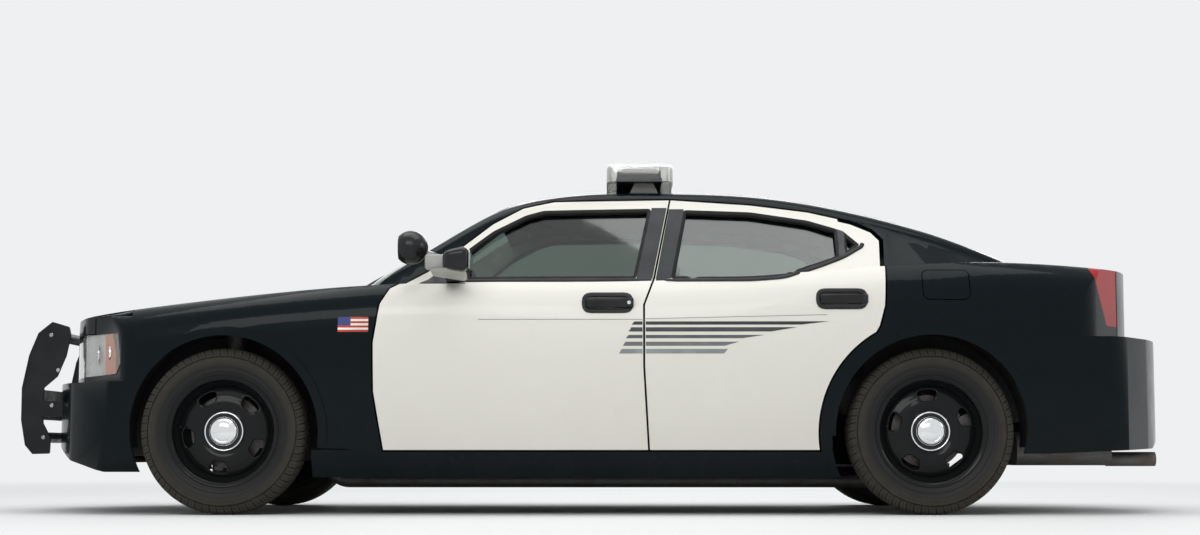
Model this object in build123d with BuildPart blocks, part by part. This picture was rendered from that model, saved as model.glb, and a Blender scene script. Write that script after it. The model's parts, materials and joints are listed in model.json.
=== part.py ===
from build123d import *
from math import atan2, cos, degrees, radians, sin
import os

# A full-size four-door patrol saloon, in millimetres. X points forward, Y to the left, Z up,
# and the origin is on the ground under the middle of the whole car, push bumper included.
# "aft" is always a distance behind the front axle.

os.makedirs("parts", exist_ok=True)

# Driving dimensions
wheelbase = 3048
front_overhang = 890
rear_overhang = 1144
push_bumper_reach = 120
track = 1600
sill_bottom = 160
moving_gap = 5
seat_gap = 0.3
fit_gap = 0.06

# Wall thicknesses, each measured inwards from the outer surface
skin = 22
lid_wall = 30
door_wall = 85
frame_wall = 140
upper_door_wall = 42
upper_frame_wall = 86
upper_skin = 60
roof_wall = 38

front_axle_x = (wheelbase + rear_overhang - front_overhang - push_bumper_reach) / 2
rear_axle_x = front_axle_x - wheelbase

# Wheels and tyres
tyre_radius = 358
tyre_width = 226
rim_radius = 228.6
rim_width = 190
rim_lip = 14
arch_radius = 412
arch_lip_width = 38
arch_lip_height = 6
arch_flange = 40
liner_radius = 432
liner_wall = 6
liner_inner_y = 650
axle_height = tyre_radius


def at(aft):
    """X of a place that lies aft of the front axle."""
    return front_axle_x - aft


def save(part, name):
    part.label = name
    export_step(part, f"parts/{name}.step")


# Sections of the lower body, front to rear. aft, then half-width and height pairs:
# sill, waist and crease half-widths, crease height, shoulder half-width and height,
# height of the crown on the centre line, and how round the shoulder is.
lower_sections = (
    # aft, sill_y, waist_y, crease_y, crease_z, shoulder_y, shoulder_z, crown_z, roundness
    (-1000, 790, 838, 846, 660, 690, 735, 775, 0.15),
    (-250, 838, 896, 903, 770, 778, 912, 956, 0.15),
    (150, 855, 925, 930, 812, 812, 955, 1000, 0.15),
    (600, 870, 938, 941, 836, 848, 990, 1032, 0.12),
    (1500, 876, 945, 943, 843, 868, 1004, 1047, 0.08),
    (2850, 872, 943, 944, 882, 862, 1072, 1116, 0.10),
    (3400, 860, 930, 932, 895, 838, 1088, 1138, 0.13),
    (3900, 835, 898, 900, 885, 790, 1056, 1098, 0.15),
    (4350, 802, 858, 860, 866, 745, 1012, 1050, 0.15),
)
sill_z = 225
waist_z = 560

# Sections of the cabin above the belt, front to rear.
upper_sections = (
    # aft, base_y, base_z, edge_y, edge_z, crown_z
    (350, 790, 780, 745, 870, 955),
    (620, 815, 850, 738, 1014, 1090),
    (860, 850, 925, 705, 1160, 1226),
    (1050, 872, 945, 676, 1275, 1336),
    (1190, 882, 955, 660, 1346, 1410),
    (1400, 886, 960, 649, 1399, 1460),
    (1950, 886, 960, 643, 1421, 1479),
    (2300, 886, 960, 640, 1406, 1466),
    (2750, 880, 968, 637, 1334, 1396),
    (3200, 850, 975, 645, 1206, 1272),
    (3450, 835, 955, 660, 1106, 1174),
    (3700, 820, 880, 680, 990, 1054),
)
cant_drop = 45
cant_in = 55
least_side = 40

# Inside the walls of doors and frame, the lower body's shoulder and the cabin's base come down
# by less than the wall, so that each wall steps over the next one at the belt.
shoulder_drops = {
    door_wall: upper_door_wall,
    door_wall + moving_gap: upper_door_wall + moving_gap,
    frame_wall: 60,
    frame_wall + seat_gap: 60 + seat_gap,
}
base_drops = {
    upper_door_wall + moving_gap: upper_door_wall - moving_gap,
    upper_frame_wall: 20,
    upper_frame_wall + seat_gap: 20,
}


def section_plane(aft):
    return Plane((at(aft), 0, 0), x_dir=(0, 1, 0), z_dir=(1, 0, 0))


def bulged(start, end, share):
    """Middle point of an arc from start to end that bulges to the right of its direction."""
    (y1, z1), (y2, z2) = start, end
    middle = ((y1 + y2) / 2, (z1 + z2) / 2)
    return (middle[0] + (z2 - z1) * share, middle[1] - (y2 - y1) * share)


def bow(start, middle, end):
    """A gentle curve from start to end through the middle point."""
    pull = tuple(2 * m - (a + b) / 2 for a, m, b in zip(start, middle, end))
    return Bezier(start, pull, end)


def mirrored(points):
    return [(-y, z) for y, z in points]


def lower_loft(inset):
    bottom = sill_bottom if inset <= 0 else sill_bottom - 200
    drop = shoulder_drops.get(inset, inset)
    with BuildPart() as form:
        for section in lower_sections:
            aft, sill_y, waist_y, crease_y, crease_z, shoulder_y, shoulder_z, crown_z, roundness = section
            floor = (sill_y - 45 - inset, bottom)
            sill = (sill_y - inset, sill_z)
            waist = (waist_y - inset, waist_z)
            crease = (crease_y - inset, crease_z)
            shoulder = (shoulder_y - inset, shoulder_z - drop)
            crown = (0, crown_z - drop)
            round_middle = bulged(crease, shoulder, roundness)
            with BuildSketch(section_plane(aft)):
                with BuildLine():
                    Line(*mirrored([floor]), floor)
                    Line(floor, sill)
                    bow(sill, waist, crease)
                    bow(crease, round_middle, shoulder)
                    bow(shoulder, crown, *mirrored([shoulder]))
                    bow(*mirrored([shoulder, round_middle, crease]))
                    bow(*mirrored([crease, waist, sill]))
                    Line(*mirrored([sill, floor]))
                make_face()
        loft()
    return form.part


def upper_loft(inset):
    drop = base_drops.get(inset, max(inset, 0))
    with BuildPart() as form:
        for aft, base_y, base_z, edge_y, edge_z, crown_z in upper_sections:
            side_top = (edge_y - inset, edge_z - cant_drop - inset)
            base = (base_y - inset, min(base_z - drop, side_top[1] - least_side))
            cant = (edge_y - cant_in - inset, edge_z + 3 - inset)
            crown = (0, crown_z - inset)
            cant_middle = bulged(side_top, cant, 0.12)
            with BuildSketch(section_plane(aft)):
                with BuildLine():
                    Line(*mirrored([base]), base)
                    Line(base, side_top)
                    bow(side_top, cant_middle, cant)
                    bow(cant, crown, *mirrored([cant]))
                    bow(*mirrored([cant, cant_middle, side_top]))
                    Line(*mirrored([side_top, base]))
                make_face()
        loft()
    return form.part


def prism(points, low, high, radius=0):
    """A side-view outline of (aft, z) points, filled between two distances left of the middle."""
    with BuildPart() as form:
        with BuildSketch(Plane.XZ.offset(-low)) as face:
            with BuildLine():
                Polyline([(at(aft), z) for aft, z in points], close=True)
            make_face()
            if radius:
                fillet(face.vertices(), radius)
        extrude(amount=low - high)
    return form.part


def cylinder_across(aft, z, radius, low, high):
    """A round bar along Y, from low to high left of the middle."""
    with BuildPart() as form:
        with BuildSketch(Plane.XZ.offset(-low)):
            with Locations((at(aft), z)):
                Circle(radius)
        extrude(amount=low - high)
    return form.part


def slab(aft_front, aft_rear, y_low, y_high, z_low, z_high):
    with BuildPart() as form:
        with Locations((at((aft_front + aft_rear) / 2), (y_low + y_high) / 2, (z_low + z_high) / 2)):
            Box(aft_rear - aft_front, y_high - y_low, z_high - z_low)
    return form.part


def upright(aft, y, radius, low, high):
    """A round post from one height to another."""
    with BuildPart() as form:
        with BuildSketch(Plane.XY.offset(low)):
            with Locations((at(aft), y)):
                Circle(radius)
        extrude(amount=high - low)
    return form.part


def bar_between(start, finish, radius, end_radius=None):
    """A round bar between two places (aft, y, z), tapered where its far end has a radius of its own."""
    (start_aft, start_y, start_z), (finish_aft, finish_y, finish_z) = start, finish
    foot = Vector(at(start_aft), start_y, start_z)
    head = Vector(at(finish_aft), finish_y, finish_z)
    with BuildPart() as form:
        for place, size in ((foot, radius), (head, end_radius or radius)):
            with BuildSketch(Plane(place, z_dir=head - foot)):
                Circle(size)
        loft()
    return form.part


# The two ends. Each zone of height has its own plan outline, in distances aft:
# nose on the centre line, nose at end_half_width, tail at end_half_width, tail on the centre line.
end_half_width = 640
nose_split = 575
tail_split = 765
bumper_nose = (-front_overhang, -722)
grille_nose = (-812, -662)
bumper_tail = (wheelbase + rear_overhang, 4040)
lamp_tail = (4060, 3915)
corner_width = 885
corner_radius = 170
wide = 1100


def plan_slab(inset, nose, tail, low, high):
    nose_middle, nose_side = nose
    tail_middle, tail_side = tail
    with BuildPart() as form:
        with BuildSketch(Plane.XY.offset(low)) as face:
            with BuildLine():
                for side in (1, -1):
                    Polyline(
                        (at(nose_side), side * end_half_width),
                        (at(nose_side + 235), side * corner_width),
                        (at(200), side * wide),
                        (at(3400), side * wide),
                        (at(tail_side - 160), side * corner_width),
                        (at(tail_side), side * end_half_width),
                    )
                ThreePointArc(
                    (at(nose_side), end_half_width), (at(nose_middle), 0), (at(nose_side), -end_half_width)
                )
                ThreePointArc(
                    (at(tail_side), end_half_width), (at(tail_middle), 0), (at(tail_side), -end_half_width)
                )
            make_face()
            corners = [v for v in face.vertices() if abs(abs(v.Y) - wide) > 1]
            fillet(corners, corner_radius)
            if inset:
                offset(amount=-inset)
        extrude(amount=high - low)
    return form.part


# Side outline of the whole lower body, from the lower lip of the nose over the top to the tail.
side_outline = (
    (-560, 190),
    (-720, 232),
    (-840, 300),
    (-front_overhang - 5, 390),
    (-front_overhang - 5, 500),
    (-870, 562),
    (-800, 585),
    (-815, 700),
    (-775, 785),
    (-500, 1300),
    (3900, 1300),
    (4022, 1098),
    (4045, 1040),
    (4062, 900),
    (4075, 800),
    (4130, 765),
    (wheelbase + rear_overhang - 12, 690),
    (wheelbase + rear_overhang + 5, 600),
    (wheelbase + rear_overhang + 5, 430),
    (wheelbase + rear_overhang - 25, 340),
    (4080, 285),
    (3560, 262),
    (3425, 262),
    (3425, 150),
    (-400, 150),
)
side_rounding = 12
below_ground = 300


def end_trim(inset):
    """Everything inside the plan and side outlines, moved in by the inset and open underneath."""
    with BuildPart() as form:
        add(plan_slab(inset, bumper_nose, bumper_tail, -below_ground, nose_split - inset))
        add(plan_slab(inset, grille_nose, bumper_tail, nose_split - inset, tail_split - inset))
        add(plan_slab(inset, grille_nose, lamp_tail, tail_split - inset, 1400))
        with BuildSketch(Plane.XZ.offset(-wide)) as face:
            with BuildLine():
                Polyline([(at(aft), z) for aft, z in side_outline], close=True)
            make_face()
            fillet(face.vertices(), side_rounding)
            if inset:
                offset(amount=-inset)
                with Locations((at(wheelbase / 2 + 160), sill_bottom)):
                    Rectangle(wheelbase + 1660, 500)
        extrude(amount=2 * wide, mode=Mode.INTERSECT)
    return form.part


def trimmed_lower(inset):
    return lower_loft(inset) & end_trim(inset)


shapes = {}


def middle(low, high):
    """The car between its axles, moved in by low below the belt and by high above it."""
    if (low, high) not in shapes:
        shapes[low, high] = lower_loft(low) + upper_loft(high)
    return shapes[low, high]


def whole(low, high):
    """The same with the nose and the tail cut to shape."""
    key = ("whole", low, high)
    if key not in shapes:
        shapes[key] = trimmed_lower(low) + upper_loft(high)
    return shapes[key]


def plan_panel(outline, amount, low, high):
    """A panel seen from above: (middle aft, corner (aft, y), corner (aft, y), middle aft)."""
    front_middle, front_corner, rear_corner, rear_middle = outline
    with BuildPart() as form:
        with BuildSketch(Plane.XY.offset(low)):
            with BuildLine():
                (front_aft, front_y), (rear_aft, rear_y) = front_corner, rear_corner
                ThreePointArc((at(front_aft), front_y), (at(front_middle), 0), (at(front_aft), -front_y))
                Line((at(front_aft), -front_y), (at(rear_aft), -rear_y))
                ThreePointArc((at(rear_aft), -rear_y), (at(rear_middle), 0), (at(rear_aft), rear_y))
                Line((at(rear_aft), rear_y), (at(front_aft), front_y))
            make_face()
            if amount:
                offset(amount=amount)
        extrude(amount=high - low)
    return form.part


def plan_prism(points, low, high):
    with BuildPart() as form:
        with BuildSketch(Plane.XY.offset(low)):
            with BuildLine():
                Polyline([(at(aft), y) for aft, y in points], close=True)
            make_face()
        extrude(amount=high - low)
    return form.part


def side(low, high):
    """The left half of the middle of the car."""
    key = ("side", low, high)
    if key not in shapes:
        shapes[key] = middle(low, high) & slab(200, 3700, 150, wide, -below_ground, 1600)
    return shapes[key]


def sharp_corners(outline, least_turn=30):
    """The corners of a closed outline at which it turns by more than a few degrees."""
    corners = []
    for n, (aft, z) in enumerate(outline):
        last_aft, last_z = outline[n - 1]
        next_aft, next_z = outline[(n + 1) % len(outline)]
        turn = degrees(atan2(next_z - z, next_aft - aft) - atan2(z - last_z, aft - last_aft))
        if abs((turn + 180) % 360 - 180) > least_turn:
            corners.append(Vector(at(aft), 0, z))
    return corners


def outline_form(outline, amount=0, radius=12, low=250, high=wide):
    """A door or window outline seen from the side, its corners rounded, grown by the amount."""
    with BuildPart() as form:
        with BuildSketch(Plane.XZ.offset(-low)) as face:
            with BuildLine():
                Polyline([(at(aft), z) for aft, z in outline], close=True)
            make_face()
            corners = sharp_corners(outline)
            turned = [
                v
                for v in face.vertices()
                if any((Vector(v.X, 0, v.Z) - corner).length < 1 for corner in corners)
            ]
            fillet(turned, radius)
            if amount:
                offset(amount=amount)
        extrude(amount=low - high)
    return form.part


def section_prism(points, aft_front, aft_rear):
    """A shape of (y, z) points seen from the front, filled between two distances aft."""
    with BuildPart() as form:
        with BuildSketch(section_plane(aft_rear)):
            with BuildLine():
                Polyline(points, close=True)
            make_face()
        extrude(amount=aft_rear - aft_front)
    return form.part


def other_side(part):
    return mirror(part, about=Plane.XZ)


def save_pair(part, name):
    save(part, f"{name}_left")
    save(other_side(part), f"{name}_right")


def save_both(part, name):
    """Left and right solids of one node."""
    save(Compound(children=[part, other_side(part)]), name)


# Shut lines, seen from the side: (aft, z)
sill_top = 278
door_gap = 8
door_flange = 10
door_step = 12
aperture_step = 45
front_door_outline = (
    (692, sill_top),
    (652, 528),
    (650, 736),
    (676, 905),
    (715, 975),
    (868, 1058),
    (1029, 1182),
    (1149, 1278),
    (1282, 1351),
    (1417, 1380),
    (1930, 1388),
    (1855, 1021),
    (1810, 900),
    (1810, 635),
    (1831, sill_top),
)
rear_door_outline = (
    (1840, sill_top),
    (1819, 635),
    (1819, 900),
    (1864, 1021),
    (1938, 1388),
    (2291, 1364),
    (2546, 1333),
    (2738, 1290),
    (2830, 1250),
    (2870, 1205),
    (2861, 1087),
    (2848, 895),
    (2824, 809),
    (2760, 700),
    (2760, sill_top),
)
rear_door_wheel_radius = 487
front_window_outline = (
    (1040, 1022),
    (1040, 1154),
    (1151, 1240),
    (1295, 1314),
    (1373, 1336),
    (1849, 1344),
    (1780, 1022),
)
rear_window_outline = (
    (1933, 1022),
    (1995, 1338),
    (2290, 1328),
    (2544, 1290),
    (2675, 1250),
    (2675, 1122),
    (2597, 1093),
    (2423, 1032),
    (2274, 1022),
)
quarter_window_outline = (
    (2700, 1240),
    (2764, 1180),
    (2700, 1134),
)
window_rounding = 14
quarter_rounding = 5
glass_inset = 18
glass_wall = 5

# Seams of the top, seen from above: middle, corner (aft, y), corner (aft, y), middle
lid_gap = 8
roof_seam_y = 575
hood_side_y = 752
cowl_side_y = 762
screen_foot = (615, 735)
lid_side_y = 640
screen_outline = (505, screen_foot, (1165, roof_seam_y), 1140)
roof_outline = (1140, (1165, roof_seam_y), (2955, roof_seam_y), 2985)
rear_window_plan = (2985, (2955, roof_seam_y), (3455, lid_side_y), 3510)
hood_outline = (-900, (-700, 690), (560, hood_side_y), 440)
cowl_outline = (440, (560, cowl_side_y), screen_foot, 505)
lid_front = 3455 + lid_gap
lid_outline = (3510 + lid_gap, (lid_front, lid_side_y), (4300, lid_side_y), 4400)
nose_seam_z = 790
lid_seam_z = tail_split + lid_gap

# Lamps and bumper seams, seen from the side
headlamp_outline = ((-1000, 583), (-480, 608), (-456, 655), (-474, nose_seam_z - 6), (-1000, nose_seam_z - 6))
lamp_inner_y = 430
fender_front = ((-418, 860), (-415, 828), (-366, 712), (-300, 700), (-100, 560))


# Doors: slabs that follow the body. Above the belt the rear edge is relieved behind its skin,
# so that it swings past the next panel.
def door_shape(outline, amount, inner_y=250):
    form = outline_form(outline, amount, low=inner_y)
    if outline is rear_door_outline:
        form -= cylinder_across(wheelbase, axle_height, rear_door_wheel_radius - amount, 200, wide)
    return form


def door_panel(outline, windows, handle_aft, handle_z, striker_aft, striker_z):
    block = door_shape(outline, 0, door_inner_y)
    rear_end = max(aft for aft, z in outline)
    behind_skin = section_prism(relief_section, rear_end - relief_reach, rear_end + 50)
    relief = (block - door_shape(outline, -door_step)) & behind_skin
    form = (side(0, 0) & block) - side(door_wall, upper_door_wall) - relief
    for window, rounding in windows:
        form -= outline_form(window, 0, rounding)
    # The latch's slot takes the striker of the body.
    form -= slab(
        striker_aft - striker_room,
        striker_aft + striker_length + moving_gap,
        700,
        striker_y + moving_gap,
        striker_z - seat_gap,
        striker_z + striker_height + seat_gap,
    )
    # The pull handle bridges a shallow cup.
    cup = slab(handle_aft, handle_aft + handle_length, cup_floor_y, wide, handle_z - 34, handle_z + 34)
    bar = slab(
        handle_aft + handle_bar_inset,
        handle_aft + handle_length + handle_seat,
        cup_floor_y - 1,
        handle_y,
        handle_z - handle_height / 2,
        handle_z + handle_height / 2,
    )
    return form - cup + bar


door_inner_y = 592
striker_length = 22
striker_height = 14
striker_room = 14
striker_y = 898
handle_length = 195
handle_height = 34
handle_bar_inset = 8
handle_seat = 12
handle_y = 948
cup_floor_y = 905
relief_reach = 190
relief_section = ((866, 965), (614, 1400), (400, 1400), (400, 965))
front_windows = ((front_window_outline, window_rounding),)
rear_windows = (
    (rear_window_outline, window_rounding),
    (quarter_window_outline, quarter_rounding),
)
doors = (
    # name, outline, windows, handle's front end aft and height, striker's front end aft and foot
    ("front", front_door_outline, front_windows, 1560, 909, 1774, 640),
    ("rear", rear_door_outline, rear_windows, 2567, 925, 2796, 845),
)
glass_sheet = upper_loft(glass_inset) - upper_loft(glass_inset + glass_wall)
pockets = []
apertures = []
for name, outline, windows, *places in doors:
    save_pair(door_panel(outline, windows, *places), f"door_{name}")
    panes = [outline_form(window, -seat_gap, rounding) & glass_sheet for window, rounding in windows]
    save_pair(Compound(children=panes) if len(panes) > 1 else panes[0], f"glass_{name}")
    inner_side = side(door_wall + moving_gap, upper_door_wall + moving_gap)
    pockets.append(door_shape(outline, door_gap, door_inner_y - moving_gap) - inner_side)
    apertures.append(door_shape(outline, -aperture_step))

# Body sides: pillars, roof rails, sills and quarter panels
frame_front = 380
post_front = 545
striker_root_y = 835
jack_afts = (560, 2480)
jack_y = 780
jack_pad = 60
jack_pad_height = 5
quarter_split = 2900
side_region = plan_prism(
    (
        (frame_front, wide),
        (frame_front, cowl_side_y + seat_gap),
        (560, cowl_side_y + seat_gap),
        (screen_foot[0] + seat_gap, screen_foot[1] + seat_gap),
        (1165, roof_seam_y + seat_gap),
        (2955, roof_seam_y + seat_gap),
        (3455 + seat_gap, lid_side_y + seat_gap),
        (3455 + seat_gap, lid_side_y + lid_gap),
        (3900, lid_side_y + lid_gap),
        (3900, wide),
    ),
    0,
    1600,
)
main_outline = (
    (frame_front, 100),
    (frame_front, sill_top - seat_gap),
    (post_front, sill_top - seat_gap),
    (post_front, 1600),
    (quarter_split, 1600),
    (quarter_split, 100),
)
quarter_outline = (
    (quarter_split, 500),
    (quarter_split, 1600),
    (3752 - seat_gap, 1600),
    (3752 - seat_gap, 1060),
    (3842 - seat_gap, 818 + seat_gap),
    (3560, 715 + seat_gap),
    (3400, 560 + seat_gap),
)
fender_outline = (
    *fender_front,
    (0, 300),
    (692 - door_gap, sill_top),
    (652 - door_gap, 528),
    (650 - door_gap, 736),
    (676 - door_gap, 905),
    (715 - door_gap, 975),
    (727, 997),
    (727, 1200),
    (-418, 1200),
)
fender_block = prism(fender_outline, 250, wide)
frame = side(0, 0) - side(frame_wall, upper_frame_wall)
for pocket, aperture in zip(pockets, apertures):
    frame = frame - pocket - aperture
frame &= prism(main_outline, 250, wide)
for *_, striker_aft, striker_z in doors:
    frame += slab(
        striker_aft,
        striker_aft + striker_length,
        striker_root_y,
        striker_y,
        striker_z,
        striker_z + striker_height,
    )
skin_shell = whole(0, 0) - whole(skin, upper_skin)
quarter = skin_shell & prism(quarter_outline, 250, wide)
under_fender = prism(fender_outline, 250, wide) - side(skin + seat_gap, upper_skin + seat_gap)
frame = (frame - under_fender) + quarter
frame &= side_region
pad_low = sill_bottom - jack_pad_height
for aft in jack_afts:
    frame += slab(aft - jack_pad, aft + jack_pad, jack_y - 35, jack_y + 35, pad_low, sill_bottom + 10)
arch_lip = lower_loft(-arch_lip_height) & prism(((-460, 0), (-460, 900), (3560, 900), (3560, 0)), 700, wide)
arch_lip -= lower_loft(skin / 2)


def arch_cut(aft):
    wide_part = cylinder_across(aft, axle_height, liner_radius + seat_gap, 250, 945 - arch_flange)
    return wide_part + cylinder_across(aft, axle_height, arch_radius, 250, wide)


def lip_ring(aft, low_z):
    ring = cylinder_across(aft, axle_height, arch_radius + arch_lip_width, 700, wide)
    ring -= cylinder_across(aft, axle_height, arch_radius, 600, wide)
    return ring & slab(aft - 600, aft + 600, 600, wide, low_z, 900) & arch_lip


frame -= arch_cut(wheelbase)
rear_lip = lip_ring(wheelbase, 560) & prism(quarter_outline, 700, wide)
frame += rear_lip
save(other_side(frame), "side_frame_right")

# The fuel flap on the left shows as a groove round its edge.
flap_centre = (3115, 917, 990)
flap_tilt = 24.7
flap_length = 206
flap_height = 146
flap_rounding = 30
flap_gap = 4
flap_depth = 15
flap_aft, flap_y, flap_z = flap_centre
flap_outwards = (0, cos(radians(flap_tilt)), sin(radians(flap_tilt)))
flap_plane = Plane((at(flap_aft), flap_y, flap_z), x_dir=(-1, 0, 0), z_dir=flap_outwards)
with BuildPart() as flap_groove:
    with BuildSketch(flap_plane.offset(-flap_depth)):
        RectangleRounded(flap_length, flap_height, flap_rounding)
        RectangleRounded(
            flap_length - 2 * flap_gap, flap_height - 2 * flap_gap, flap_rounding - flap_gap, mode=Mode.SUBTRACT
        )
    extrude(amount=flap_depth + skin)
save(frame - flap_groove.part, "side_frame_left")

# Front fenders
hood_block = plan_panel(hood_outline, lid_gap, nose_seam_z - lid_gap, 1200)
fender = (skin_shell & fender_block) - hood_block - plan_panel(cowl_outline, seat_gap, 780, 1200)
fender -= plan_panel(screen_outline, seat_gap, 780, 1200)
fender -= cylinder_across(0, axle_height, arch_radius, 250, wide)
fender += lip_ring(0, 300) & fender_block
save_both(fender, "fenders")

# Roof, cowl, bonnet, boot lid and the two fixed screens
top_shell = middle(0, 0) - middle(lid_wall, roof_wall)
save(top_shell & plan_panel(roof_outline, 0, 1100, 1600), "roof_panel")
cowl = (middle(0, 0) - middle(skin, skin)) & plan_panel(cowl_outline, 0, 860, 1200)
cowl -= plan_panel(hood_outline, lid_gap, 700, 1200)
cowl -= plan_panel(screen_outline, seat_gap, 700, 1200)
save(cowl, "cowl")
screen_inset = 5
screen_wall = 6
screen_sheet = upper_loft(screen_inset) - upper_loft(screen_inset + screen_wall)
save(screen_sheet & plan_panel(screen_outline, 0, 900, 1600), "windshield")
save(screen_sheet & plan_panel(rear_window_plan, -seat_gap, 900, 1600), "rear_window")
lid_shell = whole(0, 0) - whole(lid_wall, lid_wall)
save(lid_shell & plan_panel(hood_outline, 0, nose_seam_z, 1200), "hood")
save(lid_shell & plan_panel(lid_outline, 0, lid_seam_z, 1200), "trunk_lid")

# Bumper covers
lamp_depth = 60
grille_low = 583
grille_high = nose_seam_z - 6
intake = (-1000, -640, 300, 470)
intake_half_width = 380
front_cover_outline = (
    (-1000, 100),
    (-1000, 583 - seat_gap),
    (-480, 608 - seat_gap),
    (-456 + seat_gap, 655),
    (-474 + seat_gap, nose_seam_z - 6),
    (-1000, nose_seam_z - 6 + seat_gap),
    (-1000, 860),
    *[(aft - seat_gap, z) for aft, z in fender_front],
    (-100, 100),
)
front_cover = skin_shell & prism(front_cover_outline, -wide, wide)
front_cover -= hood_block
front_cover -= cylinder_across(0, axle_height, arch_radius, -wide, wide)
intake_front, intake_back, intake_low, intake_high = intake
intake_hole = slab(intake_front, intake_back, -intake_half_width, intake_half_width, intake_low, intake_high)
front_cover -= intake_hole
front_cover -= slab(-1000, -500, -lamp_inner_y, lamp_inner_y, grille_low - seat_gap, grille_high + seat_gap)
save(front_cover, "front_bumper")

lid_stop_aft = 3966
lid_stop_y = 480
lid_stop_radius = 8
plate_back = wheelbase + rear_overhang - 16
plate_half = 160
plate_low = 540
plate_height = 150
rear_cover_outline = (
    (3430, 100),
    (3430, 300),
    (3400, 400),
    (3400, 560),
    (3560, 715),
    (3842, 818),
    (4400, 818),
    (4400, 100),
)
rear_cover = skin_shell & prism(rear_cover_outline, -wide, wide)
rear_cover -= slab(3300, 4400, -lid_side_y - lid_gap, lid_side_y + lid_gap, tail_split, 1200)
rear_cover -= cylinder_across(wheelbase, axle_height, arch_radius, -wide, wide)
rear_cover -= slab(plate_back, 4400, -plate_half, plate_half, plate_low, plate_low + plate_height)
for y in (lid_stop_y, -lid_stop_y):
    rear_cover += upright(lid_stop_aft, y, lid_stop_radius, tail_split - 5, lid_seam_z - seat_gap)
save(rear_cover, "rear_bumper")

# Lamps and grille
lamp_shell = whole(0, 0) - whole(lamp_depth, upper_skin)
headlamp = lamp_shell & prism(headlamp_outline, lamp_inner_y, wide)
save_both(headlamp, "headlamps")
tail_lamp_outline = (
    (3752, 1200),
    (3752, 1060),
    (3842, 818 + seat_gap),
    (4300, 818 + seat_gap),
    (4300, 1200),
)
tail_lamp = lamp_shell & prism(tail_lamp_outline, lid_side_y + lid_gap, wide)
save_both(tail_lamp, "tail_lamps")

grille_frame = 20
grille_bars = 5
grille_bar_height = 12
grille_sheet = skin_shell
opening_low = grille_low + grille_frame
opening_high = grille_high - grille_frame
side_limit = lamp_inner_y - seat_gap
mouth = slab(-1000, -500, -side_limit + grille_frame, side_limit - grille_frame, opening_low, opening_high)
grille = grille_sheet & slab(-1000, -500, -side_limit, side_limit, grille_low, grille_high)
grille -= mouth
pitch = (opening_high - opening_low) / (grille_bars + 1)
for n in range(grille_bars):
    bar_z = opening_low + pitch * (n + 1)
    half = grille_bar_height / 2
    grille += grille_sheet & slab(-1000, -500, 5 - side_limit, side_limit - 5, bar_z - half, bar_z + half)
save(grille, "grille")

# Wheel liners
liner_pieces = []
for aft in (0, wheelbase):
    ring = cylinder_across(aft, axle_height, liner_radius, liner_inner_y, 945 - arch_flange - seat_gap)
    ring -= cylinder_across(aft, axle_height, liner_radius - liner_wall, 0, wide)
    ring &= slab(aft - 500, aft + 500, 0, wide, 290, 900) & lower_loft(skin + seat_gap)
    liner_pieces.append(ring)
save(Compound(children=[*liner_pieces, *[other_side(piece) for piece in liner_pieces]]), "wheel_liners")

# Floor, firewall, tunnel and boot floor
floor_z = 205
sheet = 8
firewall_aft = 548
tunnel_half = 115
floor_corner = 2560
tunnel_top = 440
boot_floor_z = 420
bulkhead_aft = 2800
boot_half = 560
rail_y = 462
boot_end = 3960
shelf_z = 1015
hood_stop_y = 400
floor_pan = slab(firewall_aft, floor_corner, -800, 800, floor_z, floor_z + sheet)
floor_pan += slab(floor_corner, bulkhead_aft, -640, 640, floor_z, floor_z + sheet)
floor_pan += slab(firewall_aft, firewall_aft + sheet, -800, 800, floor_z, 1000)
floor_pan += slab(firewall_aft, bulkhead_aft, -tunnel_half, tunnel_half, floor_z, tunnel_top)
floor_pan += slab(bulkhead_aft, bulkhead_aft + sheet, -boot_half, boot_half, floor_z, shelf_z)
floor_pan -= slab(500, bulkhead_aft + 400, sheet - tunnel_half, tunnel_half - sheet, 0, tunnel_top - sheet)
floor_pan &= middle(frame_wall + seat_gap, upper_frame_wall + seat_gap)
rear_tub = slab(bulkhead_aft, boot_end, -boot_half, boot_half, boot_floor_z, 1060)
tub_half = boot_half - sheet
rear_tub -= slab(bulkhead_aft + sheet, boot_end - sheet, -tub_half, tub_half, boot_floor_z + sheet, 1200)
rear_tub &= slab(2700, 4100, -900, 900, 0, shelf_z)
rear_tub -= slab(3500, 4100, -900, 900, lid_seam_z - 30, 1200)
shelf = slab(bulkhead_aft, 3470, -780, 780, shelf_z - sheet, shelf_z)
shelf &= middle(frame_wall + seat_gap, upper_frame_wall + seat_gap)
floor_pan += rear_tub
floor_pan += shelf
for y in (boot_half - 20, -640):
    floor_pan += slab(2960, 3136, y, y + 660 - boot_half, 600, 608)
save(floor_pan, "floor_pan")

# Rails beside the engine, with the shelves over the struts, the cross member that carries the lock
# and the bonnet's rubber stops. Each rail has a window for the upper arm.
rail_front = -620
rail_low = 260
rail_high = 780
shelf_half = 80
strut_shelf_z = 790
rails = slab(rail_front - 10, rail_front + 30, -rail_y - sheet, rail_y + sheet, 735, 770)
for sign in (1, -1):
    inner, outer = sign * rail_y, sign * (rail_y + sheet)
    rails += slab(rail_front, firewall_aft, *sorted((inner, outer)), rail_low, rail_high)
    rails += slab(-shelf_half, shelf_half, *sorted((inner, sign * 640)), strut_shelf_z, strut_shelf_z + sheet)
    rails += slab(-shelf_half, shelf_half, *sorted((inner, outer)), 700, strut_shelf_z + sheet)
    rails -= slab(-110, 110, *sorted((inner - sign * 10, outer + sign * 10)), 492, 526)
    hood_stop = upright(rail_front + 10, sign * hood_stop_y, 14, 750, 950)
    rails += hood_stop & lower_loft(lid_wall + seat_gap)
save(rails, "front_rails")


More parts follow.
